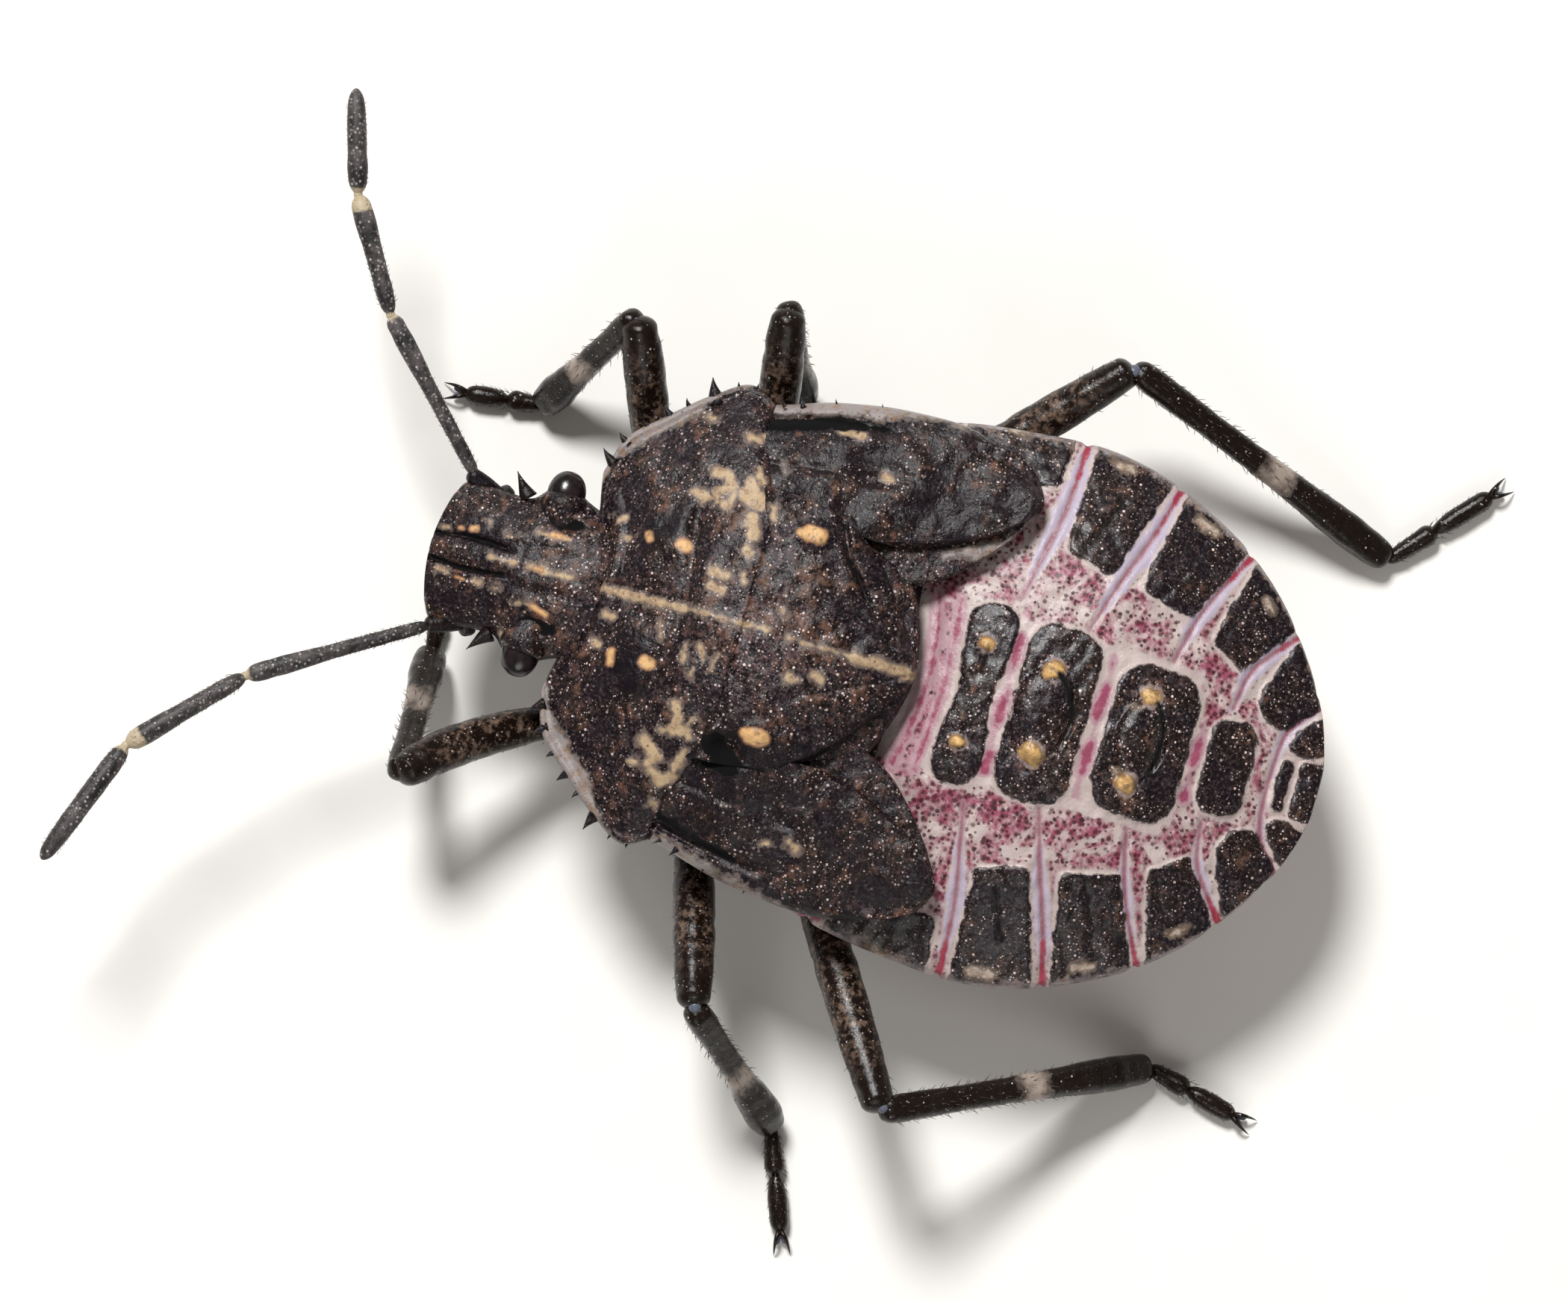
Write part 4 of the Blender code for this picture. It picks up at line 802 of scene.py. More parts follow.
PRONOTUM_ORANGE = (
    (0.82, 0.77, 0.83, 0.83, 0.085), (-0.81, 0.81, -0.81, 0.87, 0.085), (-0.84, 0.34, -0.79, 0.38, 0.045),
    (0.79, 0.29, 0.94, 0.33, 0.05),
)

rings, is_upper = over_and_under(pronotum_plan, pronotum_top, pronotum_under, 250, 70, np.linspace(0, 1, 130))
rings, is_upper = round_ends(rings, 0.04, 0.05), padded_field(is_upper)
x, y = rings[..., 0], rings[..., 1]
side_y = np.array(PRONOTUM_SIDE)[:, 1]
edge_x = np.interp(y, side_y, np.array(PRONOTUM_SIDE)[:, 0])
pale = np.where(x > 0, 0.34, 0.24) * ease((0.9 - y) / 0.5) - (edge_x - np.abs(x)) - 0.02
hollow = 0.03 - np.hypot(np.abs(x) - 0.55, y - 0.2)
smooth = np.exp(-(((np.abs(x) - 0.78) / 0.3) ** 4) - ((y - 0.5) / 0.2) ** 4)
smooth = np.maximum(smooth, np.exp(-(((np.abs(x) - 1.15) / 0.16) ** 4) - ((y - 0.72) / 0.14) ** 4))
frost = 0.6 * np.exp(-((x / 0.8) ** 2) - ((y - 1.75) / 0.4) ** 2) - 0.75 * smooth
frost = frost + 0.4 * np.exp(-(((x + 1.5) / 0.6) ** 2) - ((y - 1.5) / 0.3) ** 2)
fields = plate_fields(rings, is_upper, bars(x, y, PRONOTUM_CREAM), bars(x, y, PRONOTUM_ORANGE), pale, hollow, frost)
fields["pale"] = np.where(is_upper > 0, fields["pale"], sternum(x, y))
parts = [sealed(rings, fields)]
TEETH_Z = 2.98
for bx, by, tx, ty, radius in (
    (1.68, -0.38, 1.84, -0.57, 0.09), (1.98, -0.26, 2.1, -0.42, 0.085), (2.46, 0.22, 2.63, 0.06, 0.1),
    (2.84, 0.74, 3.16, 0.58, 0.15), (2.28, -0.08, 2.37, -0.16, 0.045), (2.68, 0.4, 2.8, 0.32, 0.05),
    (3.08, 1.0, 3.2, 0.93, 0.05), (3.13, 1.22, 3.25, 1.2, 0.045),
):
    tooth = thorn((bx, by, TEETH_Z), (tx, ty, TEETH_Z + 0.05), radius, hook=0.015)
    parts += [tooth, mirrored(tooth)]
set_piece("pronotum_shield", joined(parts), plate_material, ("pronotum",))

# %% [markdown]
# ## Thorax below the pads
# Under the scutellum and the wing pads the thorax is a plain barrel that carries the middle and hind
# legs. Only its underside shows: two cross seams between the segments, a raised ring round the root of
# each leg, and paler cuticle along the middle.

# %% Thorax
THORAX_HALF = 2.72
THORAX_RIM = (2.6, 2.82)
THORAX_RISE = 0.5
THORAX_KEEL_Z = 1.56
WAIST_Y = 3.86
WAIST_DROP = 0.35
LEG_ROOTS = ((1.0, 0.35), (1.4, 1.75), (1.45, 3.0))


def waist_y(x):
    """Line between thorax and abdomen."""
    return WAIST_Y - WAIST_DROP * (x / 3.0) ** 2


def leg_rings(x, y):
    """Raised rings of cuticle round the leg roots, 0.07 mm high."""
    total = 0.0
    for root_x, root_y in LEG_ROOTS:
        away = np.hypot(np.abs(x) - root_x, y - root_y)
        total = total + 0.07 * np.exp(-(((away - 0.42) / 0.1) ** 2))
    return total


def thorax_under(x, y, s, t):
    """The barrel's underside with cross seams at y 1.95 and 2.75, and the rings round the leg roots."""
    z = belly(np.abs(s), THORAX_RIM[0], THORAX_KEEL_Z, 1.3)
    for seam in (2.0, 2.9):
        z = z + 0.05 * np.exp(-(((y - seam - 0.1 * np.abs(x)) / 0.035) ** 2))
    return z - leg_rings(x, y) + 0.008 * uneven(x, y, 0.3, 4)


rings, is_upper = over_and_under(
    lambda s, t: (s * (THORAX_HALF + 0.08 * t), between((1.3, waist_y(s * THORAX_HALF) + 0.25), t)),
    lambda x, y, s, t: THORAX_RIM[1] + THORAX_RISE * (1 - s * s), thorax_under, 40, 170, np.linspace(0, 1, 90),
)
x, y = rings[..., 0], rings[..., 1]
thorax_parts = [sealed(rings, {"pale": np.where(is_upper > 0, -1.0, sternum(x, y)), "frost": np.zeros(x.shape)})]

# %% [markdown]
# ## Scutellum
# The scutellum is the blunt triangle between the wing pads. Its tip covers the middle of the next
# plate, the metanotum, whose hind edge meets the soft abdomen. An orange callus stands at each front
# corner beside a deep dent, which is painted near black as shade, a cream line marks the tip, and the
# front is frosted with a pale powder.

# %% Scutellum and metanotum
scutellum_half = profile((1.6, 1.9), (2.4, 1.84), (2.9, 1.7), (3.38, 1.36), (3.8, 0.84), (4.26, 0.16))
scutellum_ridge = profile((1.6, 4.12), (1.9, 4.19), (2.4, 4.25), (3.2, 4.19), (4.26, 3.93))
CALLUS = (1.4, 2.48)
METANOTUM_RIM = (4.28, 0.31)


def scutellum_plan(s, t):
    """Blunt triangle from under the pronotum's hind edge to the tip."""
    middle_y = between((1.62, 4.27), t)
    x = s * scutellum_half(middle_y)
    return x, middle_y + (1 - t) * (pronotum_back_y(x) - PRONOTUM_BACK_Y)


def scutellum_top(x, y, s, t):
    """Ridge less a quarter millimetre at the sides, with calluses, hollows and rolled edges."""
    middle_y = between((1.62, 4.27), t)
    z = scutellum_ridge(middle_y) - (0.26 - 0.1 * t) * s * s
    z = z - np.where(x > 0, 0.12, 0.05) * ease((np.abs(s) - 0.94) / 0.06) ** 2 * ease((y - 2.7) / 0.5)
    z = z - 0.12 * ease((t - 0.96) / 0.04) ** 2
    z = z - 0.16 * ease((1.95 - middle_y) / 0.3)
    away = np.hypot((np.abs(x) - CALLUS[0]) / 0.17, (y - CALLUS[1]) / 0.19)
    z = z + 0.1 * np.exp(-(away ** 3))
    z = z - np.where(x > 0, 0.17, 0.1) * np.exp(-(((np.abs(x) - 1.68) / 0.2) ** 2) - ((y - 2.12) / 0.2) ** 2)
    z = z - 0.07 * np.exp(-((bars(x, y, ((-1.7, 2.8, -1.22, 3.02, 0.0), (-1.22, 3.02, -0.74, 3.4, 0.0))) / 0.05) ** 2))
    z = z - 0.03 * np.exp(-(((np.abs(x) - 0.62 * (4.3 - y) / 1.2) / 0.04) ** 2)) * ease((y - 2.9) / 0.3)
    z = z + 0.018 * uneven(x, y, 0.38, 6) + 0.02 * uneven(x, y, 1.0, 26)
    return np.maximum(z, scutellum_under(x, y, s, t) + 0.04)


def scutellum_under(x, y, s, t):
    """The ridge less nearly half a millimetre, thinner towards the tip."""
    return scutellum_ridge(between((1.62, 4.27), t)) - 0.45 + 0.2 * t


SCUTELLUM_CREAM = (
    (0.0, 1.8, 0.0, 2.1, 0.03), (0.02, 2.5, 0.02, 3.44, 0.014), (0.02, 3.44, 0.02, 4.4, 0.055),
    (0.52, 2.66, 0.54, 2.72, 0.055), (0.4, 3.0, 0.42, 3.08, 0.045), (-0.32, 2.34, -0.3, 2.36, 0.03),
    (-1.62, 1.86, -1.5, 1.88, 0.04), (-0.02, 2.16, 0.0, 2.2, 0.04),
)
rings, is_upper = over_and_under(scutellum_plan, scutellum_top, scutellum_under, 180, 20, np.linspace(0, 1, 130))
x, y = rings[..., 0], rings[..., 1]
# Painted shade: near black in the deep dent beside each callus and along the creases.
hollow = bars(x, y, ((1.64, 1.94, 1.88, 2.3, 0.17), (-1.52, 2.08, -1.58, 2.16, 0.06),
                      (-1.66, 2.82, -1.22, 3.02, 0.02), (-1.22, 3.02, -0.76, 3.38, 0.025), (1.3, 3.36, 1.5, 3.2, 0.02)))
callus = bars(np.abs(x), y, ((1.4, 2.4, 1.4, 2.54, 0.11), (1.38, 2.3, 1.42, 2.4, 0.06)))
frost = 0.75 * np.exp(-(((x - 0.1) / 0.75) ** 2) - ((y - 2.3) / 0.6) ** 2)
frost = frost + 0.6 * np.exp(-(((x + 1.2) / 0.3) ** 2) - ((y - 2.2) / 0.3) ** 2) - 0.4 * (x > 1.3)
fields = plate_fields(rings, is_upper, bars(x, y, SCUTELLUM_CREAM), callus, None, hollow, frost)
scutellum_parts = [sealed(rings, fields)]


def metanotum_plan(s, t):
    """From under the scutellum to the edge of the abdomen, arched to the rear."""
    x = s * between((1.6, 1.24), t)
    return x, between((3.0, METANOTUM_RIM[0] - METANOTUM_RIM[1] * np.abs(x / 1.15) ** 1.6), t)


rings, is_upper = over_and_under(
    metanotum_plan,
    lambda x, y, s, t: between((3.92, 3.74), t) - 0.1 * s * s - 0.08 * ease((t - 0.93) / 0.07) ** 2
    + 0.012 * uneven(x, y, 0.35, 7),
    lambda x, y, s, t: between((3.5, 3.45), t) - 0.1 * s * s, 110, 16, np.linspace(0, 1, 60),
)
rings, is_upper = round_ends(rings, 0.02, 0.03), padded_field(is_upper)
x, y = rings[..., 0], rings[..., 1]
fields = plate_fields(rings, is_upper, bars(x, y, ((0.02, 3.9, 0.02, 4.4, 0.05),)))
scutellum_parts.append(sealed(rings, fields))
set_piece("thorax_and_scutellum", joined(thorax_parts + scutellum_parts), plate_material, ("thorax",))

# %% [markdown]
# ## Wing pads
# In place of wings the nymph has leathery flaps. The fore pad starts beside the scutellum, ends in a
# round lobe and has a pale, bevelled outer margin with a furrow inside it. The hind pad lies below and
# shows as a narrow strip. Both are patches blended from their four edges, as a sheet of paper is laid
# between four bent wires.

# %% Wing pads
PAD_FRONT = ((1.84, 1.7), (2.45, 1.5), (3.04, 1.5))
PAD_INNER = ((1.84, 1.7), (1.75, 2.5), (1.56, 3.2), (1.63, 3.8), (1.83, 4.3), (2.12, 4.84), (2.42, 5.16))
PAD_OUTER = ((3.04, 1.5), (3.3, 2.4), (3.43, 3.3), (3.42, 4.1), (3.24, 4.68), (3.05, 5.04))
PAD_BACK = ((2.42, 5.16), (2.7, 5.28), (3.05, 5.04))
PAD_INNER_Z = (4.02, 3.82)
PAD_OUTER_Z = (3.4, 3.5)
UNDERPAD_FRONT = ((1.12, 3.4), (2.0, 3.1), (3.0, 3.3))
UNDERPAD_INNER = ((1.12, 3.4), (1.17, 4.0), (1.34, 4.3), (1.72, 4.7), (2.14, 5.04))
UNDERPAD_OUTER = ((3.0, 3.3), (3.24, 4.0), (3.25, 4.7), (3.04, 5.14))
UNDERPAD_BACK = ((2.14, 5.04), (2.72, 5.3), (3.04, 5.14))


def patch(front, back, inner, outer, share, t):
    """Plan of a patch with four curved edges: the sum of both blends less the blend of its corners."""
    share, t = share[..., None], t[..., None]
    edges = (1 - t) * along(front, share[..., 0]) + t * along(back, share[..., 0])
    edges = edges + (1 - share) * along(inner, t[..., 0]) + share * along(outer, t[..., 0])
    corners = (1 - t) * ((1 - share) * np.array(front[0]) + share * np.array(front[-1]))
    corners = corners + t * ((1 - share) * np.array(back[0]) + share * np.array(back[-1]))
    place = edges - corners
    return place[..., 0], place[..., 1]


def pad_crown(s, t):
    """Height of the fore pad: high at the inner root, low at the margin, tucked in at its front."""
    share = 0.5 + 0.5 * s
    crown = between((between(PAD_INNER_Z, t), between(PAD_OUTER_Z, t)), share ** 1.6)
    return crown - 0.26 * (1 - ease(t / 0.22)) - 0.08 * ease((share - 0.88) / 0.12)


def pad_top(x, y, s, t):
    """The crown with rolled edges, a bead along the margin and the furrow inside it."""
    share = 0.5 + 0.5 * s
    z = pad_crown(s, t) - 0.12 * ease((t - 0.95) / 0.05) ** 2
    z = z - 0.14 * ease((0.05 - share) / 0.05) ** 2 * ease((t - 0.42) / 0.12)
    z = z + 0.03 * np.exp(-(((share - 0.945) / 0.03) ** 2)) - 0.09 * ease((share - 0.975) / 0.025) ** 2
    z = z - 0.09 * np.exp(-(((share - 0.83) / 0.045) ** 2)) * ease((0.6 - t) / 0.4)
    z = z - 0.035 * np.exp(-(((share - 0.3 - 0.35 * t) / 0.05) ** 2)) * ease((0.6 - t) / 0.3)
    return z + 0.018 * uneven(x, y, 0.4, 8) + 0.035 * uneven(x, y, 1.2, 28)


# A painted highlight: a silvery shine on the right hind pad, just behind the fore pad's rear inner edge, drawn as a
# pale mark thick with grey bloom and pale specks.
PAD_PAINTED_HIGHLIGHT = (
    (1.66, 4.2, 1.78, 4.52, 0.05), (1.78, 4.52, 1.96, 4.9, 0.07), (1.96, 4.9, 2.18, 5.14, 0.08),
    (2.18, 5.14, 2.48, 5.32, 0.07),
)
PAD_CREAM = (
    (-2.88, 2.44, -2.9, 2.72, 0.045), (-2.43, 3.18, -2.43, 3.24, 0.04), (2.6, 3.28, 2.64, 3.38, 0.04),
    (2.7, 2.95, 2.7, 3.0, 0.03),
)
PAD_PALE = ((-2.24, 1.82, -2.14, 1.86, 0.06),)

for side, word in ((1, "left"), (-1, "right")):
    rings, is_upper = over_and_under(
        lambda s, t: patch(PAD_FRONT, PAD_BACK, PAD_INNER, PAD_OUTER, 0.5 + 0.5 * s, t), pad_top,
        lambda x, y, s, t: pad_crown(s, t) - 0.26, 110, 30, np.linspace(0, 1, 190),
    )
    rings, is_upper = round_ends(rings, 0.02, 0.02), padded_field(is_upper)
    x, y = rings[..., 0], rings[..., 1]
    rim = 0.19 if side < 0 else 0.1
    edge = [(*a, *b, rim) for a, b in zip(PAD_OUTER[:-3], PAD_OUTER[1:-2])]
    margin = bars(x, y, edge) - 0.17 * ease((y - 2.7) / 1.2)
    # Painted shade: near black in the furrow inside the margin and at the inner front edge beside the scutellum's
    # callus.
    furrow = bars(x, y, [(ax - 0.32, ay, bx - 0.32, by, 0.1) for ax, ay, bx, by, _ in edge])
    furrow = furrow - 0.16 * ease((y - 2.2) / 1.6) - (0.04 if side > 0 else 0.0)
    furrow = np.maximum(furrow, bars(side * x, y, ((1.84, 1.95, 1.9, 2.3, 0.1),)))
    pale = np.maximum(margin, bars(side * x, y, PAD_PALE))
    fields = plate_fields(rings, is_upper, bars(side * x, y, PAD_CREAM), None, pale, furrow, -0.22)
    parts = [sealed(rings, fields)]
    for ax, ay, bx, by, radius in (
        (3.08, 1.86, 3.2, 1.78, 0.045), (3.2, 2.3, 3.31, 2.24, 0.035), (3.32, 2.9, 3.42, 2.86, 0.03),
        (3.02, 1.62, 3.1, 1.52, 0.03),
    ):
        parts.append(thorn((ax, ay, 3.3), (bx, by, 3.33), radius))
    rings, is_upper = over_and_under(
        lambda s, t: patch(UNDERPAD_FRONT, UNDERPAD_BACK, UNDERPAD_INNER, UNDERPAD_OUTER, 0.5 + 0.5 * s, t),
        lambda x, y, s, t: 3.72 - 0.08 * t - 0.12 * (0.5 + 0.5 * s) - 0.1 * ease((-0.94 - s) / 0.06) ** 2
        - 0.08 * ease((t - 0.95) / 0.05) ** 2 + 0.012 * uneven(x, y, 0.3, 9),
        lambda x, y, s, t: 3.44 - 0.04 * t - 0.1 * (0.5 + 0.5 * s), 90, 20, np.linspace(0, 1, 90),
    )
    rings, is_upper = round_ends(rings, 0.02, 0.03), padded_field(is_upper)
    # Painted highlight on the right hind pad only: the pale mark and a strong bloom of specks along the fore pad's
    # edge.
    painted_highlight = bars(rings[..., 0], rings[..., 1], PAD_PAINTED_HIGHLIGHT) if side < 0 else None
    painted_highlight_bloom = 0.0 if painted_highlight is None else 1.3 * ease((painted_highlight + 0.06) / 0.06)
    parts.append(sealed(rings, plate_fields(rings, is_upper, pale=painted_highlight, frost=painted_highlight_bloom)))
    pad = joined(parts)
    pad = pad if side > 0 else mirrored(pad)
    set_piece(f"wing_pads_{word}", pad, plate_material, (f"wing_pad_{word}",))

# %% [markdown]
# ## Abdomen
# The abdomen is a soft bag, domed above and rounded below, so that the nymph can grow. Black plates
# float in it: five along each margin, and a row down the middle of which two carry the openings of the
# scent glands. Between them the skin is cream with clusters of red, each set with dark dots, and lilac
# bands with a red crease mark the joints between segments. One surface carries it all, with the
# distance to each plate and band kept on its points, so that plates rise where they are drawn.

# %% Abdomen outline
RIM_Z = 2.7
RIM_WALL = 0.2
SEGMENT_ENDS = (4.2, 5.67, 7.03, 8.17, 9.05, 9.55)
abdomen_half = profile(
    (3.3, 3.0), (3.8, 3.32), (4.3, 3.52), (5.2, 3.7), (6.0, 3.73), (6.8, 3.58), (7.5, 3.3), (8.28, 2.84),
    (8.8, 2.38), (9.2, 1.9), (9.5, 1.45), (9.77, 0.9), (9.93, 0.34),
)
abdomen_ridge = profile(
    (3.3, 3.1), (4.1, 3.2), (4.6, 3.45), (5.4, 3.6), (6.6, 3.62), (7.6, 3.44), (8.6, 3.12), (9.4, 2.84), (9.93, 2.74)
)
abdomen_keel = profile((3.3, 1.62), (4.4, 1.42), (5.8, 1.28), (7.2, 1.4), (8.4, 1.75), (9.3, 2.12), (9.93, 2.4))


def abdomen_row(t):
    """The y of each row on the middle line."""
    return between((3.62, 9.9), t)


def abdomen_plan(s, t):
    """x is s times the half width, notched where segments meet, and the front rows follow the waist."""
    row = abdomen_row(t)
    half = abdomen_half(row)
    for end in SEGMENT_ENDS:
        half = half - 0.05 * np.exp(-(((row - end) / 0.05) ** 2))
    x = s * half
    return x, row + (waist_y(x) - WAIST_Y) * ease((5.4 - row) / 1.5)


# %% Marks of the abdomen
BACK_PLATES = (
    (5.11, 1.25, 0.33, 0.3), (6.125, 1.2, 0.505, 0.36), (7.485, 1.03, 0.585, 0.4), (8.63, 0.65, 0.32, 0.26),
    (9.43, 0.37, 0.09, 0.08), (9.79, 0.4, 0.19, 0.1),
)
SIDE_PLATES = (
    ((3.95, 4.0), (3.95, 5.52), (3.0, 5.45), (2.9, 4.1)),
    ((3.95, 5.84), (3.78, 7.02), (2.02, 6.44), (2.22, 5.76)),
    ((3.62, 7.2), (3.08, 8.22), (1.77, 7.64), (1.98, 6.86)),
    ((2.92, 8.34), (2.2, 9.14), (1.28, 8.48), (1.6, 7.98)),
    ((2.0, 9.14), (1.12, 9.68), (0.67, 9.18), (0.8, 8.9), (1.1, 8.78), (1.5, 8.92)),
    ((1.08, 9.72), (0.55, 10.0), (0.46, 9.78), (0.4, 9.56), (0.5, 9.37), (0.7, 9.38), (0.9, 9.52)),
)
BANDS = (
    ((3.78, 5.69), (2.72, 5.62), (2.2, 5.52), (1.42, 5.36)),
    ((3.5, 7.07), (2.75, 6.86), (1.95, 6.57), (1.24, 6.35)),
    ((2.88, 8.22), (1.86, 7.73), (1.16, 7.55)),
    ((1.98, 9.1), (1.32, 8.6), (0.8, 8.5)),
    ((1.18, 9.66), (0.68, 9.3), (0.3, 9.24), (0.0, 9.23)),
)
BAND_SHARES = (1.0, 1.0, 0.9, 0.6, 0.4)
PLATE_CREAM = (
    (3.62, 4.66, 3.66, 4.86, 0.05), (3.56, 6.08, 3.52, 6.34, 0.055), (3.12, 7.4, 3.02, 7.66, 0.05),
    (2.34, 8.54, 2.2, 8.7, 0.03), (0.46, 7.2, 0.47, 7.22, 0.02),
)
PLATE_ORANGE = ((0.69, 5.04, 0.69, 5.1, 0.065), (0.56, 5.98, 0.6, 6.08, 0.1), (0.6, 7.33, 0.62, 7.42, 0.085))
# Narrow grooves on the plates, painted near black as shade.
PLATE_SHADED_GROOVES = (
    (2.4, 6.08, 3.05, 6.34, 0.018), (1.86, 7.14, 2.5, 7.46, 0.018), (1.72, 8.14, 2.06, 8.3, 0.016),
    (0.3, 5.1, 0.62, 5.12, 0.02),
)

# The grooves behind the two humps with the gland openings, painted near black as shade.
CRESCENTS = (
    (-0.55, 6.12, -0.3, 6.38, 0.045), (-0.3, 6.38, 0.02, 6.45, 0.04), (0.02, 6.45, 0.3, 6.36, 0.02),
    (-0.55, 7.5, -0.25, 7.68, 0.035), (-0.25, 7.68, 0.25, 7.68, 0.025), (0.25, 7.68, 0.6, 7.52, 0.02),
)


def tapering(x, y, points, radii, pieces=16):
    """Distance inside a ribbon along a curve whose half width runs through radii."""
    share = np.linspace(0, 1, pieces + 1)
    path = along(points, share)
    half = np.interp(share, np.linspace(0, 1, len(radii)), radii)
    total = np.full(np.shape(x), -10.0)
    for a, b, first, last in zip(path[:-1], path[1:], half[:-1], half[1:]):
        step = b - a
        t = np.clip(((x - a[0]) * step[0] + (y - a[1]) * step[1]) / (step @ step), 0, 1)
        inside = first + t * (last - first) - np.hypot(x - a[0] - t * step[0], y - a[1] - t * step[1])
        total = np.maximum(total, inside)
    return total


def back_plates(x, y):
    """Distance inside the plates on the middle line, the first of them narrow in its middle."""
    total = np.full(np.shape(x), -10.0)
    for k, (middle, half, length, corner) in enumerate(BACK_PLATES):
        waist = 0.1 * (1 - ease(np.abs(x) / 0.75)) if k == 0 else 0.0
        total = np.maximum(total, rounded_box(x, y, middle, half, length - waist, corner))
    return total


def side_plates(x, y):
    """Distance inside the plates at both margins."""
    return np.max([rounded_polygon(np.abs(x), y, corners, 0.035) for corners in SIDE_PLATES], axis=0)


def band_marks(x, y):
    """Distances inside the lilac bands, their red crease and the crimson at its outer end."""
    wide = [tapering(np.abs(x), y, points, share * np.array([0.05, 0.12, 0.16, 0.1, 0.0]) - 0.03 * (share > 0.6))
            for points, share in zip(BANDS, BAND_SHARES)]
    wide = [values + np.where(x < 0, 0.03, -0.01) for values in wide]
    crease = [tapering(np.abs(x), y, points, (0.025, 0.02, 0.018, 0.018, 0.014)) for points in BANDS]
    crimson = [tapering(np.abs(x), y, points, (0.06, 0.025, -0.05, -0.15, -0.2)) for points in BANDS]
    return np.max(wide, axis=0), np.max(crease, axis=0), np.max(crimson, axis=0)


def front_lines(x):
    """The y of the two pink lines and of the dots between them, in front of the first plate."""
    bow = (x / 1.1) ** 2
    return 4.46 - 0.14 * bow, 4.56 - 0.13 * bow, 4.68 - 0.07 * bow


# %% Abdomen
ROWS = 230
rings, is_upper = over_and_under(
    abdomen_plan, lambda x, y, s, t: RIM_Z + 0.0 * x, lambda x, y, s, t: RIM_Z + 0.0 * x, 250, 90,
    np.linspace(0, 1, ROWS),
)
x, y = rings[..., 0], rings[..., 1]
row = np.broadcast_to(abdomen_row(np.linspace(0, 1, ROWS))[:, None], x.shape)
out = np.clip(np.abs(x) / abdomen_half(row), 0, 1)
backs, sides = back_plates(x, y), side_plates(x, y)
plate = np.maximum(backs, sides)
band, crease, crimson = band_marks(x, y)
first_line, dot_line, second_line = front_lines(x)
pink = np.maximum(0.035 - np.abs(y - first_line), 0.03 - np.abs(y - second_line))
pink = np.minimum(pink, 1.2 - np.abs(x))
stripe = bars(x, y, ((-0.95, 5.5, 0.95, 5.5, 0.07), (-0.9, 6.77, 0.9, 6.77, 0.07), (-0.55, 8.18, 0.55, 8.18, 0.06)))
pink = np.maximum(pink, stripe - 0.05 * (1 + np.sin(8.0 * x + 3.0 * y)) ** 2 * 0.5)
flush = np.minimum(0.2 - np.abs(y - first_line - 0.06), 1.3 - np.abs(x))
speckled = np.minimum(-plate - 0.06, -band - 0.02)
clear = 0.12 * (1 - ease((1.25 - np.abs(x)) / 0.2)) - 0.06 * (np.abs(x) < 1.2)
speckled = np.minimum(speckled, np.where(y > 8.0, 0.06, clear))
speckled = np.maximum(speckled, np.minimum(0.07 - np.abs(y - dot_line), 1.1 - np.abs(x)))

top = RIM_Z + (abdomen_ridge(row) - RIM_Z) * (1.0 - out ** 2.3)
top = top - 0.16 * ease((np.abs(x) - 1.3) / 0.5) * ease((5.6 - row) / 0.5) * (1.0 - out)
raised = ease((plate + 0.05) / 0.1)
top = top + 0.045 * raised - 0.035 * np.exp(-((np.minimum(crease, 0.0) / 0.04) ** 2)) * (1 - raised)
top = top + 0.015 * np.exp(-(((band - 0.06) / 0.07) ** 2)) * (1 - raised)
top = top - 0.03 * np.exp(-(((y - first_line) / 0.05) ** 2)) * (np.abs(x) < 1.3)
for middle, reach, length, rear in ((5.98, 0.66, 0.36, 6.45), (7.34, 0.62, 0.28, 7.72)):
    hump = 1 - (x / reach) ** 4 - ((y - middle - 0.18 * (x / reach) ** 2) / length) ** 2
    top = top + 0.14 * np.sqrt(np.clip(hump, 0, 1)) * raised
    brow = np.exp(-(((y - rear + 0.25 * (x / reach) ** 2) / 0.035) ** 2)) * ease((reach + 0.05 - np.abs(x)) / 0.15)
    top = top - 0.07 * brow
gland_frost, crust = np.zeros(x.shape), np.full(x.shape, -1.0)
for gland_x, gland_y, radius in ((0.69, 5.07, 0.09), (0.58, 6.03, 0.135), (0.61, 7.38, 0.12)):
    away = np.hypot(np.abs(x) - gland_x, y - gland_y) / radius
    gland_frost = gland_frost + 1.2 * np.exp(-(((away - 1.2) / 0.6) ** 2))
    crust = np.maximum(crust, 0.02 - radius * np.abs(away - 1.0 - 0.2 * (y > gland_y)))
    top = top + (0.08 + 0.04 * uneven(x, y, 0.07, 10)) * np.exp(-(away ** 3))
top = top - 0.02 * np.exp(-((bars(np.abs(x), y, PLATE_SHADED_GROOVES) / 0.02) ** 2)) * raised
top = top - 0.1 * ease((out - 0.975) / 0.025) ** 2 + 0.012 * uneven(x, y, 0.3, 11)

low = RIM_Z - RIM_WALL - 0.05
fullness = 1.35 - 0.55 * ease((row - 4.6) / 1.8)
below = low - (low - abdomen_keel(row)) * np.clip(1.0 - out * out, 0, 1) ** fullness
for end in SEGMENT_ENDS:
    below = below + 0.04 * np.exp(-(((row - end - 0.1 * (1 - out)) / 0.04) ** 2)) * (1 - out ** 6)
below = below + 0.008 * uneven(x, y, 0.25, 12)
rings[..., 2] = np.where(is_upper > 0, top, below)

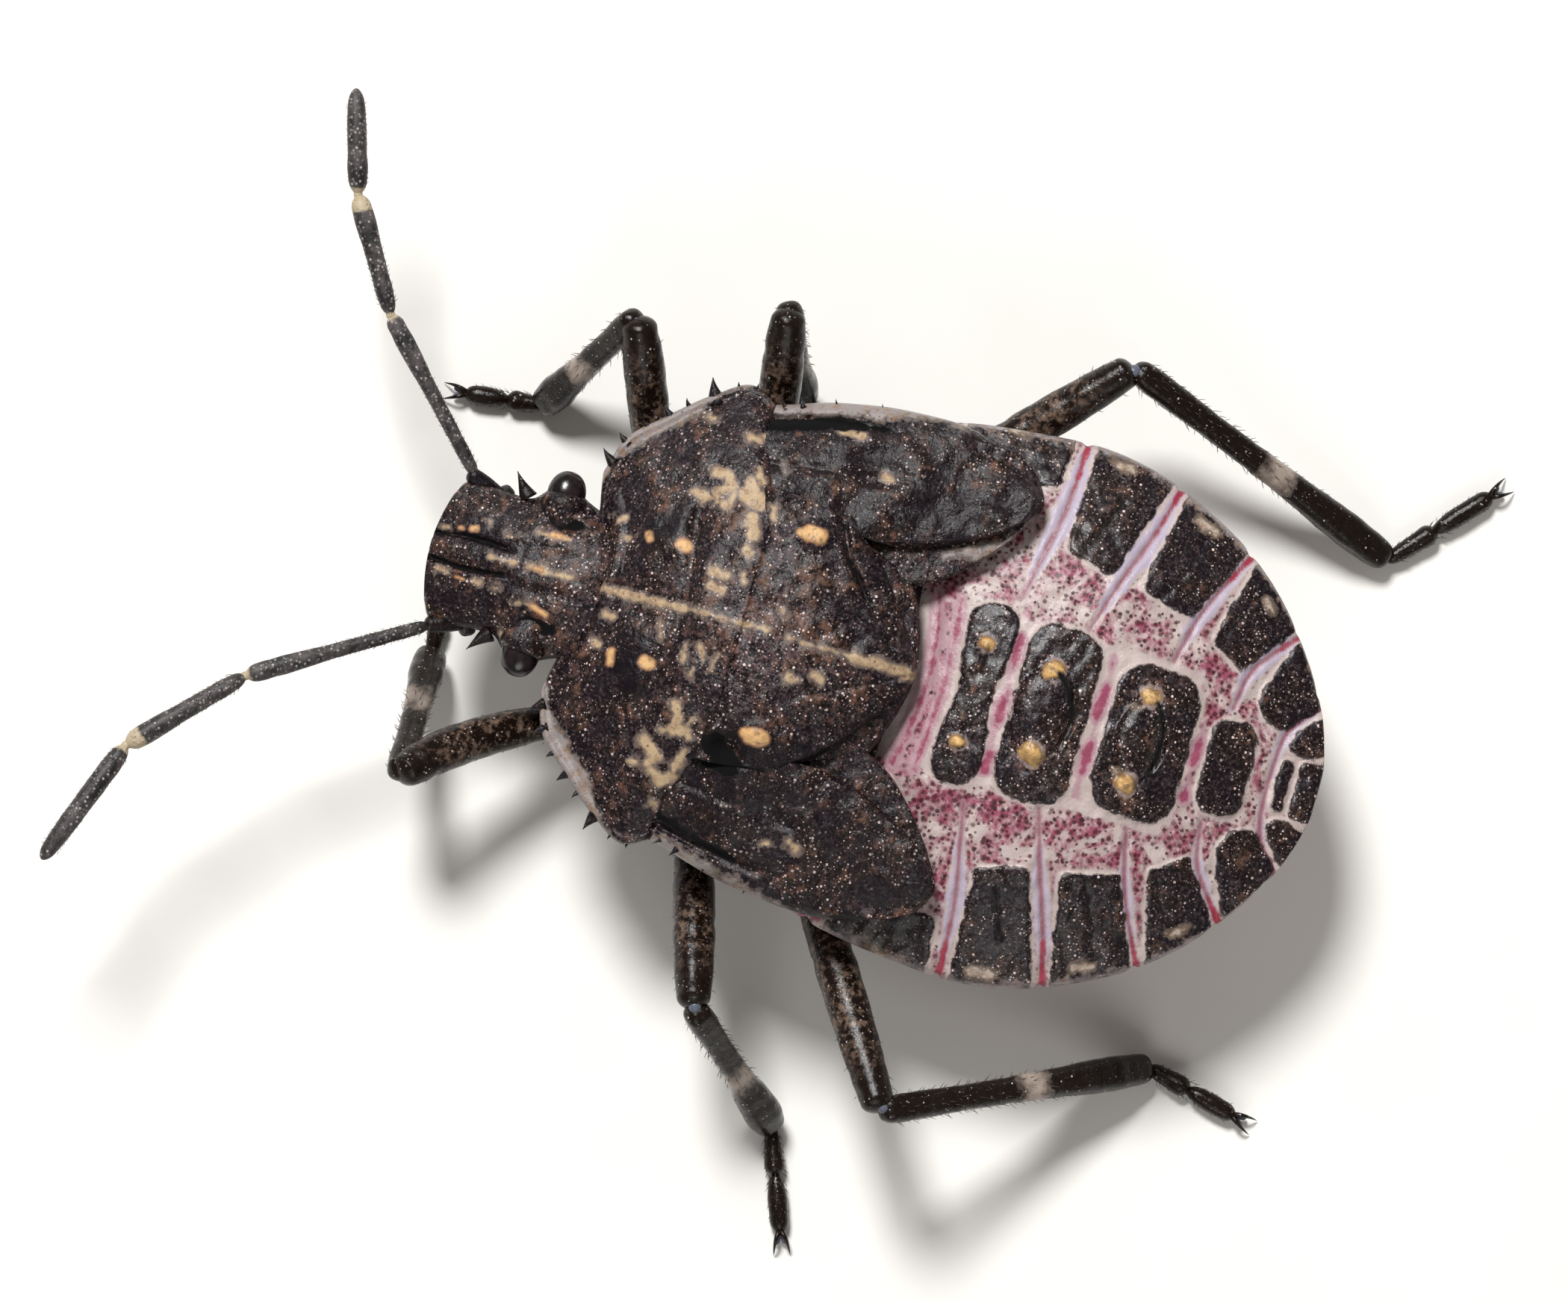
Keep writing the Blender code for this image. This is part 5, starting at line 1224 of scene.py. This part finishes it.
spiracles = [(0.78 * float(abdomen_half(np.array(e - 0.3))), e - 0.55, 0.0, 0.0) for e in SEGMENT_ENDS[1:5]]
spots = bars(np.abs(x), y, [(sx, sy, sx, sy + 0.02, 0.06) for sx, sy, _, _ in spiracles])
middle_spots = bars(x, y, [(-w, m, w, m, 0.2) for m, w in ((5.0, 0.45), (6.35, 0.5), (7.6, 0.4), (8.6, 0.25))])
rim_spots = bars(np.abs(x), y, [
    (0.94 * float(abdomen_half(np.array(m))), m - 0.25, 0.94 * float(abdomen_half(np.array(m))), m + 0.25, 0.14)
    for m in (4.9, 6.35, 7.6, 8.6)
])
# Darker on the underside just behind the thorax: dark skin at the joint, with painted shade.
shaded = waist_y(x) + 0.12 - y + 0.08 * uneven(x, y, 0.4, 17)
dark_below = np.max([spots, middle_spots, rim_spots, shaded], axis=0)
fields = {
    "plate": np.where(is_upper > 0, plate, dark_below),
    "band": np.where(is_upper > 0, band, -1.0),
    "crease": np.where(is_upper > 0, crease, -1.0),
    "crimson": np.where(is_upper > 0, crimson, -1.0),
    "pink": np.where(is_upper > 0, pink, -1.0),
    "flush": np.where(is_upper > 0, flush, -1.0),
    "speckled": np.where(is_upper > 0, speckled, 0.5 * (out - 0.62) + 0.1 * uneven(x, y, 0.7, 31)),
    "cream": np.where(is_upper > 0, bars(np.abs(x), y, PLATE_CREAM), -1.0),
    "orange": np.where(is_upper > 0, bars(np.abs(x), y, PLATE_ORANGE), -1.0),
    # Painted shade in the grooves of the plates.
    "hollow": np.where(is_upper > 0, np.maximum(bars(np.abs(x), y, PLATE_SHADED_GROOVES), bars(x, y, CRESCENTS)), -1.0),
    "pale": np.where(is_upper > 0, np.maximum(np.minimum(out - 0.985, sides), crust), -1.0),
    "frost": gland_frost,
}
fields = {name: padded_field(values) for name, values in fields.items()}
abdomen = sealed(round_ends(rings, 0.03, 0.03), fields)

# %% Skin of the abdomen
DOT_SPACING = 0.085
DOT_RADIUS = 0.031
material, tree, shader, place = new_material("abdomen_skin_soft_cuticle")
tone = add(tree, "ShaderNodeTexNoise", {"Vector": place, "Scale": per(0.4), "Detail": 5.0, "Roughness": 0.65})
grain = add(tree, "ShaderNodeTexNoise", {"Vector": place, "Scale": per(0.06), "Detail": 3.0})
stain = add(tree, "ShaderNodeTexNoise", {"Vector": place, "Scale": per(0.13), "Detail": 4.0, "Roughness": 0.7})
blotch = add(tree, "ShaderNodeTexNoise", {"Vector": place, "Scale": per(0.5), "Detail": 5.0, "Roughness": 0.65,
                                          "Distortion": 0.6})
skin = add(tree, "ShaderNodeMixRGB", {"Fac": tone.outputs["Fac"], "Color1": linear("#86736f"),
                                      "Color2": linear("#cdc0bb")}).outputs["Color"]
skin = marks_over(tree, place, skin, (("flush", "#a3858b", 0.16, 0.0),))
zone = frayed(tree, place, "speckled", 0.14, 0.03)
cluster = add(tree, "ShaderNodeMapRange", {"Value": blotch.outputs["Fac"], "From Min": 0.43, "From Max": 0.57})
streaky = add(tree, "ShaderNodeMapRange", {"Value": stain.outputs["Fac"], "From Min": 0.32, "From Max": 0.52})
red = add(tree, "ShaderNodeMath", {0: cluster.outputs["Result"], 1: streaky.outputs["Result"]},
          operation="MULTIPLY").outputs["Value"]
red = add(tree, "ShaderNodeMath", {0: red, 1: zone}, operation="MULTIPLY").outputs["Value"]
skin = add(tree, "ShaderNodeMixRGB", {"Fac": red, "Color1": skin, "Color2": linear("#89485a")}).outputs["Color"]
bent = add(tree, "ShaderNodeVectorMath", {0: grain.outputs["Color"], 1: (3e-5, 3e-5, 3e-5), 2: place},
           operation="MULTIPLY_ADD").outputs["Vector"]
halo, _ = specks(tree, bent, DOT_SPACING, 1.9 * DOT_RADIUS, 0.3, "2D")
deep = add(tree, "ShaderNodeMath", {0: halo, 1: red}, operation="MULTIPLY")
skin = add(tree, "ShaderNodeMixRGB", {"Fac": deep.outputs["Value"], "Color1": skin,
                                      "Color2": linear("#64202f")}).outputs["Color"]
dots, hue = specks(tree, bent, DOT_SPACING, DOT_RADIUS, 0.2, "2D")
some = add(tree, "ShaderNodeMath", {0: cluster.outputs["Result"], 1: hue}, operation="ADD")
some = add(tree, "ShaderNodeMapRange", {"Value": some.outputs["Value"], "From Min": 0.4, "From Max": 0.5,
                                        "To Max": zone})
dots = add(tree, "ShaderNodeMath", {0: dots, 1: some.outputs["Result"]}, operation="MULTIPLY")
dot_colour = add(tree, "ShaderNodeMixRGB", {"Fac": hue, "Color1": linear("#26161a"), "Color2": linear("#4c2b30")})
skin = add(tree, "ShaderNodeMixRGB", {"Fac": dots.outputs["Value"], "Color1": skin,
                                      "Color2": dot_colour.outputs["Color"]}).outputs["Color"]
skin = marks_over(tree, place, skin, (
    ("band", "#a79cab", 0.2, 0.0), ("pink", "#9f7f86", 0.2, 0.05), ("pink", "#853f55", 0.2, -0.01),
    ("crease", "#94757c", 0.08, 0.02), ("crease", "#7c4a54", 0.05, -0.004), ("crimson", "#8a2c3c", 0.14, -0.01),
))
# The abdomen's plates: their near-black mark is painted shade in the grooves.
plate_colour, plate_rough, plate_height = plate_layers(tree, place, (
    ("pale", "#8f8586", 0.14, 0.0), ("cream", "#5c4f45", 0.3, 0.04), ("cream", "#a4978a", 0.3, -0.02),
    ("orange", "#86643a", 0.2, 0.02), ("orange", "#c6a068", 0.2, -0.015), ("hollow", "#060405", 0.02, 0.0),
), 0.77)
on_plate = frayed(tree, place, "plate", 0.18, 0.012)
colour = add(tree, "ShaderNodeMixRGB", {"Fac": on_plate, "Color1": skin, "Color2": plate_colour})
rough = add(tree, "ShaderNodeMix", {0: on_plate, 2: 0.4, 3: plate_rough})
height = add(tree, "ShaderNodeMix", {0: on_plate, 2: grain.outputs["Fac"], 3: plate_height})
finish_shader(tree, shader, colour.outputs["Color"], rough.outputs[0], height.outputs[0], 0.012)
shader.inputs["Specular IOR Level"].default_value = 0.3
set_piece("abdomen_bag", abdomen, material, ("abdomen",))

# %% [markdown]
# ## Legs
# Each leg is a short coxa below the body, a stout femur, a tibia that is grooved above and widens to
# its end, and a foot of two segments with two claws and a pale pad under each. The cuticle is almost
# black and glossy, mottled with beige on the femur, with one pale ring round the tibia and a bluish
# skin in the knee. The joints are the same points as the solids have, and every part follows from them.

# %% Glossy cuticle of the legs
material, tree, shader, place = new_material("leg_glossy_cuticle")
grain = add(tree, "ShaderNodeTexNoise", {"Vector": place, "Scale": per(0.09), "Detail": 5.0, "Roughness": 0.65})
patches = add(tree, "ShaderNodeTexNoise", {"Vector": place, "Scale": per(0.26), "Detail": 5.0, "Roughness": 0.68})
base = add(tree, "ShaderNodeMixRGB", {"Fac": grain.outputs["Fac"], "Color1": linear("#050303"),
                                      "Color2": linear("#1f140d")}).outputs["Color"]
mask = add(tree, "ShaderNodeMath", {0: patches.outputs["Fac"], 1: 0.6, 2: grain.outputs["Fac"]},
           operation="MULTIPLY_ADD")
mask = add(tree, "ShaderNodeMapRange", {"Value": mask.outputs["Value"], "From Min": 0.78, "From Max": 1.0})
mottled = add(tree, "ShaderNodeAttribute", attribute_name="mottled").outputs["Fac"]
mask = add(tree, "ShaderNodeMath", {0: mask.outputs["Result"], 1: mottled}, operation="MULTIPLY", use_clamp=True)
base = add(tree, "ShaderNodeMixRGB", {"Fac": mask.outputs["Value"], "Color1": base,
                                      "Color2": linear("#6b574a")}).outputs["Color"]
fleck, _ = specks(tree, place, 0.055, 0.015, 4.0)
base = add(tree, "ShaderNodeMixRGB", {"Fac": fleck, "Color1": base, "Color2": linear("#b9b1b0")}).outputs["Color"]
ring = frayed(tree, place, "ring", 0.5, 0.12)
base = add(tree, "ShaderNodeMixRGB", {"Fac": ring, "Color1": base, "Color2": linear("#9a8c81")}).outputs["Color"]
colour = marks_over(tree, place, base, (("knee_skin", "#565a66", 0.06, 0.0),))
rough = add(tree, "ShaderNodeMapRange", {"Value": patches.outputs["Fac"], "From Min": 0.3, "From Max": 0.7,
                                         "To Min": 0.1, "To Max": 0.24})
finish_shader(tree, shader, colour, rough.outputs["Result"], grain.outputs["Fac"], 0.012)
shader.inputs["Specular IOR Level"].default_value = 0.24
leg_material = material

# %% Leg forms
LEGS = {
    "fore_left": ((1.0, 0.35), (3.12, -2.0, 2.5), (1.28, -2.12), (0.13, -2.2)),
    "fore_right": ((-1.0, 0.35), (-3.72, -0.62, 2.5), (-2.42, -1.6), (-2.28, -2.72)),
    "mid_left": ((1.4, 1.75), (5.04, 2.66, 2.9), (6.22, 4.13), (7.62, 4.66)),
    "mid_right": ((-1.4, 1.75), (-4.33, 1.31, 3.0), (-3.45, 1.78), (-3.05, 3.2)),
    "hind_left": ((1.45, 3.0), (5.68, 5.44, 2.9), (4.03, 8.88), (4.36, 10.22)),
    "hind_right": ((-1.45, 3.0), (-4.94, 6.0, 2.2), (-3.57, 10.13), (-4.86, 11.3)),
}
FEMUR_BOW = {"fore_left": (0.0, -0.26, 0.03)}
COXA_LENGTH = 0.62
COXA_GAP = 0.25
COXA_LEAN = 0.25
ANKLE_Z = 0.19


def underside(word, x, y):
    """Height of the body's underside where a leg grows."""
    if word.startswith("fore"):
        half = 1.65 + 1.45 * ease((y + 0.4) / 1.9)
        return belly(np.clip(np.abs(x) / half, 0, 1), 2.8, PRONOTUM_KEEL_Z, 1.2)
    return belly(np.clip(np.abs(x) / THORAX_HALF, 0, 1), THORAX_RIM[0], THORAX_KEEL_Z, 1.3)


def leg_joints(word):
    """Root under the body, hip, knee, ankle and tip of the foot."""
    (x, y), knee, ankle, tip = LEGS[word]
    slope = (underside(word, x + 0.05, y) - underside(word, x - 0.05, y)) / 0.1
    down = unit((slope, 0.0, -1.0))
    root = np.array([x, y, underside(word, x, y)])
    lean = unit(down + COXA_LEAN * unit((knee[0] - x, knee[1] - y, 0.0)))
    hip = root + COXA_GAP * down + COXA_LENGTH * lean
    return root - 0.1 * down, hip, np.array(knee), np.array([*ankle, ANKLE_Z]), np.array([*tip, 0.15])


def leg_segment(start, end, keys, around=40, count=110, bow=(0.0, 0.0, 0.0), groove=0.0, fields=None):
    """One segment as a tube from start to end: radii from keys of (fraction, mm), its middle moved by
    bow, and with a groove along its upper side."""
    t = stations(count)
    path = start + t[:, None] * (end - start) + np.array(bow) * (4 * t * (1 - t))[:, None]
    radii = curve([k for k, _ in keys], [r for _, r in keys], t)[:, 0]
    reach = np.linalg.norm(end - start)
    radii = radii * domed(t, 0.16 / reach, 0.16 / reach)
    angle = 2 * np.pi * np.arange(around) / around
    shape = 1 - groove * np.exp(-(((angle - 0.5 * np.pi) / 0.32) ** 2)) - 0.5 * groove * np.cos(4 * angle)
    lumps = 0.008 * uneven(reach * t[:, None] + 0 * angle, 0.25 * np.sin(angle)[None], 0.3, 13)
    rings = limb(path, radii[:, None] * (shape[None] + lumps / 0.25), around)
    made = {name: np.repeat(values(reach * t)[:, None], around, axis=1) for name, values in (fields or {}).items()}
    return sealed(rings, made)


def foot(ankle, tip):
    """Two foot segments along the floor, two hooked claws and two pads."""
    ahead = unit(tip - ankle)
    across = np.array([-ahead[1], ahead[0], 0.0])
    bend = ankle + 0.46 * (tip - ankle)
    end = tip - 0.03 * ahead
    parts = [
        leg_segment(ankle - 0.02 * ahead, bend, ((0, 0.1), (0.5, 0.125), (0.9, 0.145), (1, 0.13)), 28, 50),
        leg_segment(bend - 0.06 * ahead, end, ((0, 0.08), (0.25, 0.12), (0.7, 0.135), (1, 0.12)), 28, 50),
    ]
    t = np.linspace(0, 1, 16)[:, None]
    for side in (-1, 1):
        aim = unit(ahead + 0.7 * side * across)
        path = end - 0.05 * ahead + 0.3 * t * aim + 0.1 * t * t * (ahead - 0.6 * side * across)
        path = path + np.array([0, 0, 1.0]) * (0.1 * np.sin(np.pi * t) - 0.11 * t * t)
        parts.append(sealed(limb(path, 0.045 * (1.02 - t[:, 0]) ** 0.7, 12)))
        path = end - 0.04 * ahead + 0.2 * t * unit(ahead + 0.35 * side * across) - np.array([0, 0, 0.05]) * t
        pad = sealed(limb(path, 0.035 * domed(t[:, 0], 0.3, 0.3) + 0.004, 12, 0.5))
        pad["fields"]["knee_skin"] = np.full(len(pad["points"]), 1.0)
        parts.append(pad)
    return parts


def leg_parts(word):
    """All parts of one leg, from its joints."""
    root, hip, knee, ankle, tip = leg_joints(word)
    shin = np.linalg.norm(ankle - knee)
    tibia_end = 0.26 if word.startswith("mid") else 0.24
    middle = 0.545 * shin
    thigh = np.linalg.norm(knee - hip)
    parts = [
        leg_segment(root, hip, ((0, 0.36), (0.5, 0.36), (1, 0.26)), 32, 40,
                    fields={"mottled": lambda d: 0 * d + 0.8, "ring": lambda d: 0 * d - 1}),
        leg_segment(hip - 0.1 * unit(knee - hip), hip + 0.42 * unit(knee - hip), ((0, 0.22), (0.5, 0.25), (1, 0.2)),
                    32, 40, fields={"mottled": lambda d: 0 * d + 0.6, "ring": lambda d: 0 * d - 1}),
        leg_segment(hip + 0.25 * unit(knee - hip), knee, ((0, 0.2), (0.25, 0.26), (0.5, 0.285), (0.85, 0.26),
                    (1, 0.22)), bow=FEMUR_BOW.get(word, (0.0, 0.0, 0.03)),
                    fields={"mottled": lambda d: ease((thigh - 0.5 - d) / 0.8), "ring": lambda d: 0 * d - 1}),
        leg_segment(knee, ankle, ((0, 0.185), (0.08, 0.2), (0.3, 0.185), (0.6, 0.2), (0.9, tibia_end), (1, 0.2)),
                    groove=0.08, bow=(0.0, 0.0, 0.04),
                    fields={"ring": lambda d: 0.18 - np.abs(d - middle), "mottled": lambda d: 0 * d}),
        leg_segment(knee - 0.1 * unit(knee - hip), knee + 0.12 * unit(ankle - knee), ((0, 0.12), (1, 0.12)), 24, 30,
                    bow=(0.0, 0.0, 0.065), fields={"knee_skin": lambda d: 0 * d + 1}),
    ]
    return parts + foot(ankle, tip)


for word in LEGS:
    nodes = [f"{word}_{part}" for part in ("coxa", "femur", "tibia", "tarsus")]
    set_piece(f"{word}_leg", joined(leg_parts(word)), leg_material, nodes)

# %% [markdown]
# ## Bristles
# Short stiff bristles stand on the legs and feelers, and fine pale hairs on the body's margin; only the
# bristles are made here. Each bristle is a thin three-sided spike with its root inside the cuticle. Roots are spread
# with a fixed seed and even
# spacing, the tips lean towards the far end, and length, lean and turn vary from one to the next. All
# the bristles of one limb are one piece, and its OFBake map gives every bristle a small patch of its own
# at the place of its root.

# %% Bristles
BAKE_PATCH = 0.003


def bristles(roots, outward, lean, length, thickness, seed, places):
    """Spikes at roots: each runs along outward plus lean, with a slight curve, and narrows to a point.

    Gives the part and the OFBake place of each point: places holds a pair of 0 to 1 for each root.
    """
    rng = np.random.default_rng(seed)
    count = len(roots)
    size = length * rng.uniform(0.6, 1.25, (count, 1))
    aim = unit(outward + lean * rng.uniform(0.5, 1.5, (count, 1)) + 0.15 * rng.normal(size=(count, 3)))
    side = unit(np.cross(aim, lean + 0.01))
    over = np.cross(side, aim)
    corner = 2 * np.pi * np.arange(3) / 3
    rings = []
    for share, width in ((-0.15, 1.0), (0.35, 0.8), (0.75, 0.5)):
        middle = roots + aim * size * share + unit(lean) * size * 0.12 * max(share, 0.0) ** 2
        spokes = np.cos(corner)[:, None] * side[:, None] + np.sin(corner)[:, None] * over[:, None]
        rings.append(middle[:, None] + 0.5 * thickness * width * spokes)
    tip = roots + aim * size + unit(lean) * size * 0.12
    points = np.concatenate([np.stack(rings, axis=1).reshape(count, 9, 3), tip[:, None]], axis=1)
    first = 10 * np.arange(count)[:, None, None]
    quads = np.array([[r + a, r + (a + 1) % 3, r + 3 + (a + 1) % 3, r + 3 + a] for r in (0, 3) for a in range(3)])
    tris = np.array([[6 + a, 6 + (a + 1) % 3, 9] for a in range(3)] + [[2, 1, 0]])
    part = {"points": points.reshape(-1, 3), "quads": (quads + first).reshape(-1, 4),
            "tris": (tris + first).reshape(-1, 3), "fields": {}}
    spread = np.stack([np.tile([0.0, 0.5, 1.0], 3), np.repeat([0.0, 0.4, 0.8], 3)], axis=1)
    spread = np.concatenate([spread, [[0.5, 1.0]]]) * BAKE_PATCH
    bake = np.asarray(places)[:, None] * (1 - BAKE_PATCH) + spread
    return part, bake.reshape(-1, 2)


def on_tube(start, end, radius, bow, spacing, seed, margin=0.12):
    """Roots spread evenly over a bowed tube, their outward directions, and their (turn, along) places."""
    rng = np.random.default_rng(seed)
    reach = np.linalg.norm(end - start)
    rows = int((reach - 2 * margin) / spacing)
    around = max(int(2 * np.pi * radius / spacing), 3)
    k, j = np.meshgrid(np.arange(rows), np.arange(around), indexing="ij")
    t = (margin + (k + 0.5 + rng.uniform(-0.35, 0.35, k.shape)) * spacing) / reach
    angle = 2 * np.pi * (j + 0.5 * (k % 2) + rng.uniform(-0.3, 0.3, k.shape)) / around
    t, angle = t.ravel(), angle.ravel() % (2 * np.pi)
    ahead = unit(end - start)
    side = unit(np.cross(ahead, (0.0, 0.0, 1.0)))
    over = np.cross(side, ahead)
    outward = np.cos(angle)[:, None] * side + np.sin(angle)[:, None] * over
    middle = start + t[:, None] * (end - start) + np.array(bow) * (4 * t * (1 - t))[:, None]
    return middle + radius * outward, outward, ahead, np.stack([angle / (2 * np.pi), t], axis=1)


def set_bristles(name, material, groups):
    """One piece from groups of (roots, outward, ahead, places), each group in its own strip of the map."""
    parts, maps = [], []
    for k, (roots, outward, ahead, places, length, thickness, lean) in enumerate(groups):
        strip = (places * [1.0, 0.9] + [0.0, k + 0.05]) / [1.0, len(groups)]
        part, bake = bristles(roots, outward, lean * ahead, length, thickness, 40 + k, strip)
        parts.append(part)
        maps.append(bake)
    return set_piece(name, joined(parts), material, bake_map=np.concatenate(maps))


material, tree, shader, place = new_material("bristle_dark_chitin")
tone = add(tree, "ShaderNodeTexNoise", {"Vector": place, "Scale": per(0.5), "Detail": 2.0})
tone = add(tree, "ShaderNodeMixRGB", {"Fac": tone.outputs["Fac"], "Color1": linear("#120c0a"),
                                      "Color2": linear("#4a3c33")})
tree.links.new(tone.outputs["Color"], shader.inputs["Base Color"])
shader.inputs["Roughness"].default_value = 0.38
bristle_material = material

for word in LEGS:
    root, hip, knee, ankle, tip = leg_joints(word)
    low_tip = np.array([tip[0], tip[1], ankle[2] - 0.03])
    groups = []
    for start, end, radius, bow, spacing, length, lean in (
        (hip + 0.3 * unit(knee - hip), knee, 0.262, FEMUR_BOW.get(word, (0, 0, 0.03)), 0.22, 0.06, 1.1),
        (knee, ankle, 0.19, (0, 0, 0.04), 0.14, 0.09, 1.4),
        (ankle, low_tip, 0.115, (0, 0, 0), 0.085, 0.075, 1.5),
    ):
        roots, outward, ahead, places = on_tube(start, end, radius, bow, spacing, len(groups) + 3)
        clear = roots[:, 2] + length * outward[:, 2] > 0.08
        groups.append((roots[clear], outward[clear], ahead, places[clear], length, 0.012, lean))
    set_bristles(f"{word}_leg_bristles", bristle_material, groups)

# %% [markdown]
# ## Feelers and beak
# A feeler has a short segment fixed to the head and three long ones, each a little thicker than the
# last. They are dull black, grained with whitish granules, with a cream ring at the last joint. The
# beak is four straight pieces laid back between the legs, tan with a dark tip.

# %% Granular cuticle of the feelers
material, tree, shader, place = new_material("feeler_granular_cuticle")
granules = add(tree, "ShaderNodeTexVoronoi", {"Vector": place, "Scale": per(0.06), "Randomness": 0.9})
chance = add(tree, "ShaderNodeSeparateColor", {"Color": granules.outputs["Color"]})
dust_and_glints = add(tree, "ShaderNodeTexNoise", {"Vector": place, "Scale": per(0.25), "Detail": 5.0, "Roughness": 0.7})
grain = add(tree, "ShaderNodeMapRange", {"Value": granules.outputs["Distance"], "From Min": 0.42, "From Max": 0.18})
some = add(tree, "ShaderNodeMath", {0: chance.outputs["Red"], 1: 1.2}, operation="POWER")
grain_mask = add(tree, "ShaderNodeMath", {0: grain.outputs["Result"], 1: some.outputs["Value"]}, operation="MULTIPLY")
greyed = add(tree, "ShaderNodeMapRange", {"Value": dust_and_glints.outputs["Fac"], "From Min": 0.42, "From Max": 0.7,
                                          "To Max": 0.75})
base = add(tree, "ShaderNodeMixRGB", {"Fac": greyed.outputs["Result"], "Color1": linear("#0f0c0c"),
                                      "Color2": linear("#5f5756")}).outputs["Color"]
base = add(tree, "ShaderNodeMixRGB", {"Fac": grain_mask.outputs["Value"], "Color1": base,
                                      "Color2": linear("#a8a09c")}).outputs["Color"]
colour = marks_over(tree, place, base, (("ring", "#a8997f", 0.2, 0.0),))
rough = add(tree, "ShaderNodeMapRange", {"Value": dust_and_glints.outputs["Fac"], "To Min": 0.4, "To Max": 0.7})
finish_shader(tree, shader, colour, rough.outputs["Result"], grain.outputs["Result"], 0.01)
feeler_material = material

# %% Feelers
FEELERS = {
    "left": ((1.06, -2.18, 2.45), (2.42, -4.33, 2.9), (3.76, -5.59, 3.1), (5.54, -6.24, 3.2)),
    "right": ((-1.06, -2.14, 2.45), (-2.78, -3.81, 2.9), (-4.2, -4.67, 3.1), (-5.56, -5.09, 3.2)),
}
FEELER_BOWS = {"left": ((0, 0, 0.06),) * 3, "right": ((0, 0, 0.06),) * 3}
FEELER_KEYS = (
    ((0, 0.085), (0.1, 0.09), (0.5, 0.1), (0.93, 0.12), (1, 0.105)),
    ((0, 0.09), (0.08, 0.105), (0.5, 0.122), (0.93, 0.13), (1, 0.11)),
    ((0, 0.095), (0.08, 0.118), (0.5, 0.132), (0.8, 0.122), (1, 0.085)),
)
for word, joints in FEELERS.items():
    parts = []
    for k in range(3):
        a, b = np.array(joints[k]), np.array(joints[k + 1])
        reach = np.linalg.norm(b - a)
        if k == 0:
            ring = lambda d, reach=reach: 0.06 - np.abs(d - reach)
        elif k == 1:
            ring = lambda d, reach=reach: np.maximum(0.03 - d, 0.24 - np.abs(d - reach))
        else:
            ring = lambda d, reach=reach: 0.1 - d
        parts.append(leg_segment(a, b, FEELER_KEYS[k], 28, 110, bow=FEELER_BOWS[word][k], fields={"ring": ring}))
        parts.append(leg_segment(b - 0.08 * unit(b - a), b + 0.08 * unit(b - a), ((0, 0.085), (1, 0.085)), 20, 20,
                                 fields={"ring": lambda d: 0 * d + (1 if k < 2 else -1)}))
    nodes = [f"antenna_{word}_{part}" for part in ("second", "third", "fourth")]
    set_piece(f"feeler_{word}", joined(parts[:-1]), feeler_material, nodes)

# %% Bristles of the feelers
for word, joints in FEELERS.items():
    groups = []
    for k, radius in enumerate((0.098, 0.12, 0.124)):
        a, b = np.array(joints[k]), np.array(joints[k + 1])
        groups.append((*on_tube(a, b, radius, FEELER_BOWS[word][k], 0.07, 20 + k), 0.042, 0.008, 1.4))
    set_bristles(f"feeler_{word}_bristles", bristle_material, groups)

# %% Beak
BEAK_JOINTS = ((0.0, -1.75, 1.5), (0.0, -0.75, 1.24), (0.0, 0.6, 1.14), (0.0, 1.9, 1.14), (0.0, 3.04, 1.2))
BEAK_ROOT = (0.0, -1.55, 2.0)
BEAK_KEYS = (
    ((0, 0.16), (0.5, 0.165), (1, 0.14)), ((0, 0.125), (0.5, 0.13), (1, 0.12)), ((0, 0.11), (0.5, 0.115), (1, 0.1)),
    ((0, 0.092), (0.6, 0.075), (1, 0.035)),
)
material, tree, shader, place = new_material("beak_tan_cuticle")
streaks = add(tree, "ShaderNodeTexNoise", {"Vector": place, "Scale": per(0.2), "Detail": 4.0})
base = add(tree, "ShaderNodeMixRGB", {"Fac": streaks.outputs["Fac"], "Color1": linear("#5f4630"),
                                      "Color2": linear("#a98c66")}).outputs["Color"]
colour = marks_over(tree, place, base, (("hollow", "#17110e", 0.15, 0.0),))
rough = add(tree, "ShaderNodeMapRange", {"Value": streaks.outputs["Fac"], "To Min": 0.3, "To Max": 0.5})
finish_shader(tree, shader, colour, rough.outputs["Result"], streaks.outputs["Fac"], 0.01)
parts = [leg_segment(np.array(BEAK_ROOT), np.array(BEAK_JOINTS[0]) + (0.0, 0.05, 0.0), ((0, 0.26), (1, 0.17)), 28, 50,
                     fields={"hollow": lambda d: 0 * d + 1})]
for k, keys in enumerate(BEAK_KEYS):
    a, b = np.array(BEAK_JOINTS[k]), np.array(BEAK_JOINTS[k + 1])
    overlap = 0.06 * unit(b - a) if k < 3 else 0.0
    dark = (lambda d: d - 0.6) if k == 3 else (lambda d: 0.02 - d)
    parts.append(leg_segment(a, b + overlap, keys, 28, 70, groove=-0.1, fields={"hollow": dark}))
set_piece("beak", joined(parts), material, ("rostrum",))

# %% Size and finish
def write_sizes():
    """Prints how far the visual model's box reaches past the CAD box on each axis, in millimetres."""
    low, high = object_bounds()
    grown = [round(1000 * max(a - b, d - c), 3) for a, b, c, d in zip(cad_low, low, cad_high, high)]
    print("visual box past the CAD box, in mm:", grown)


write_sizes()
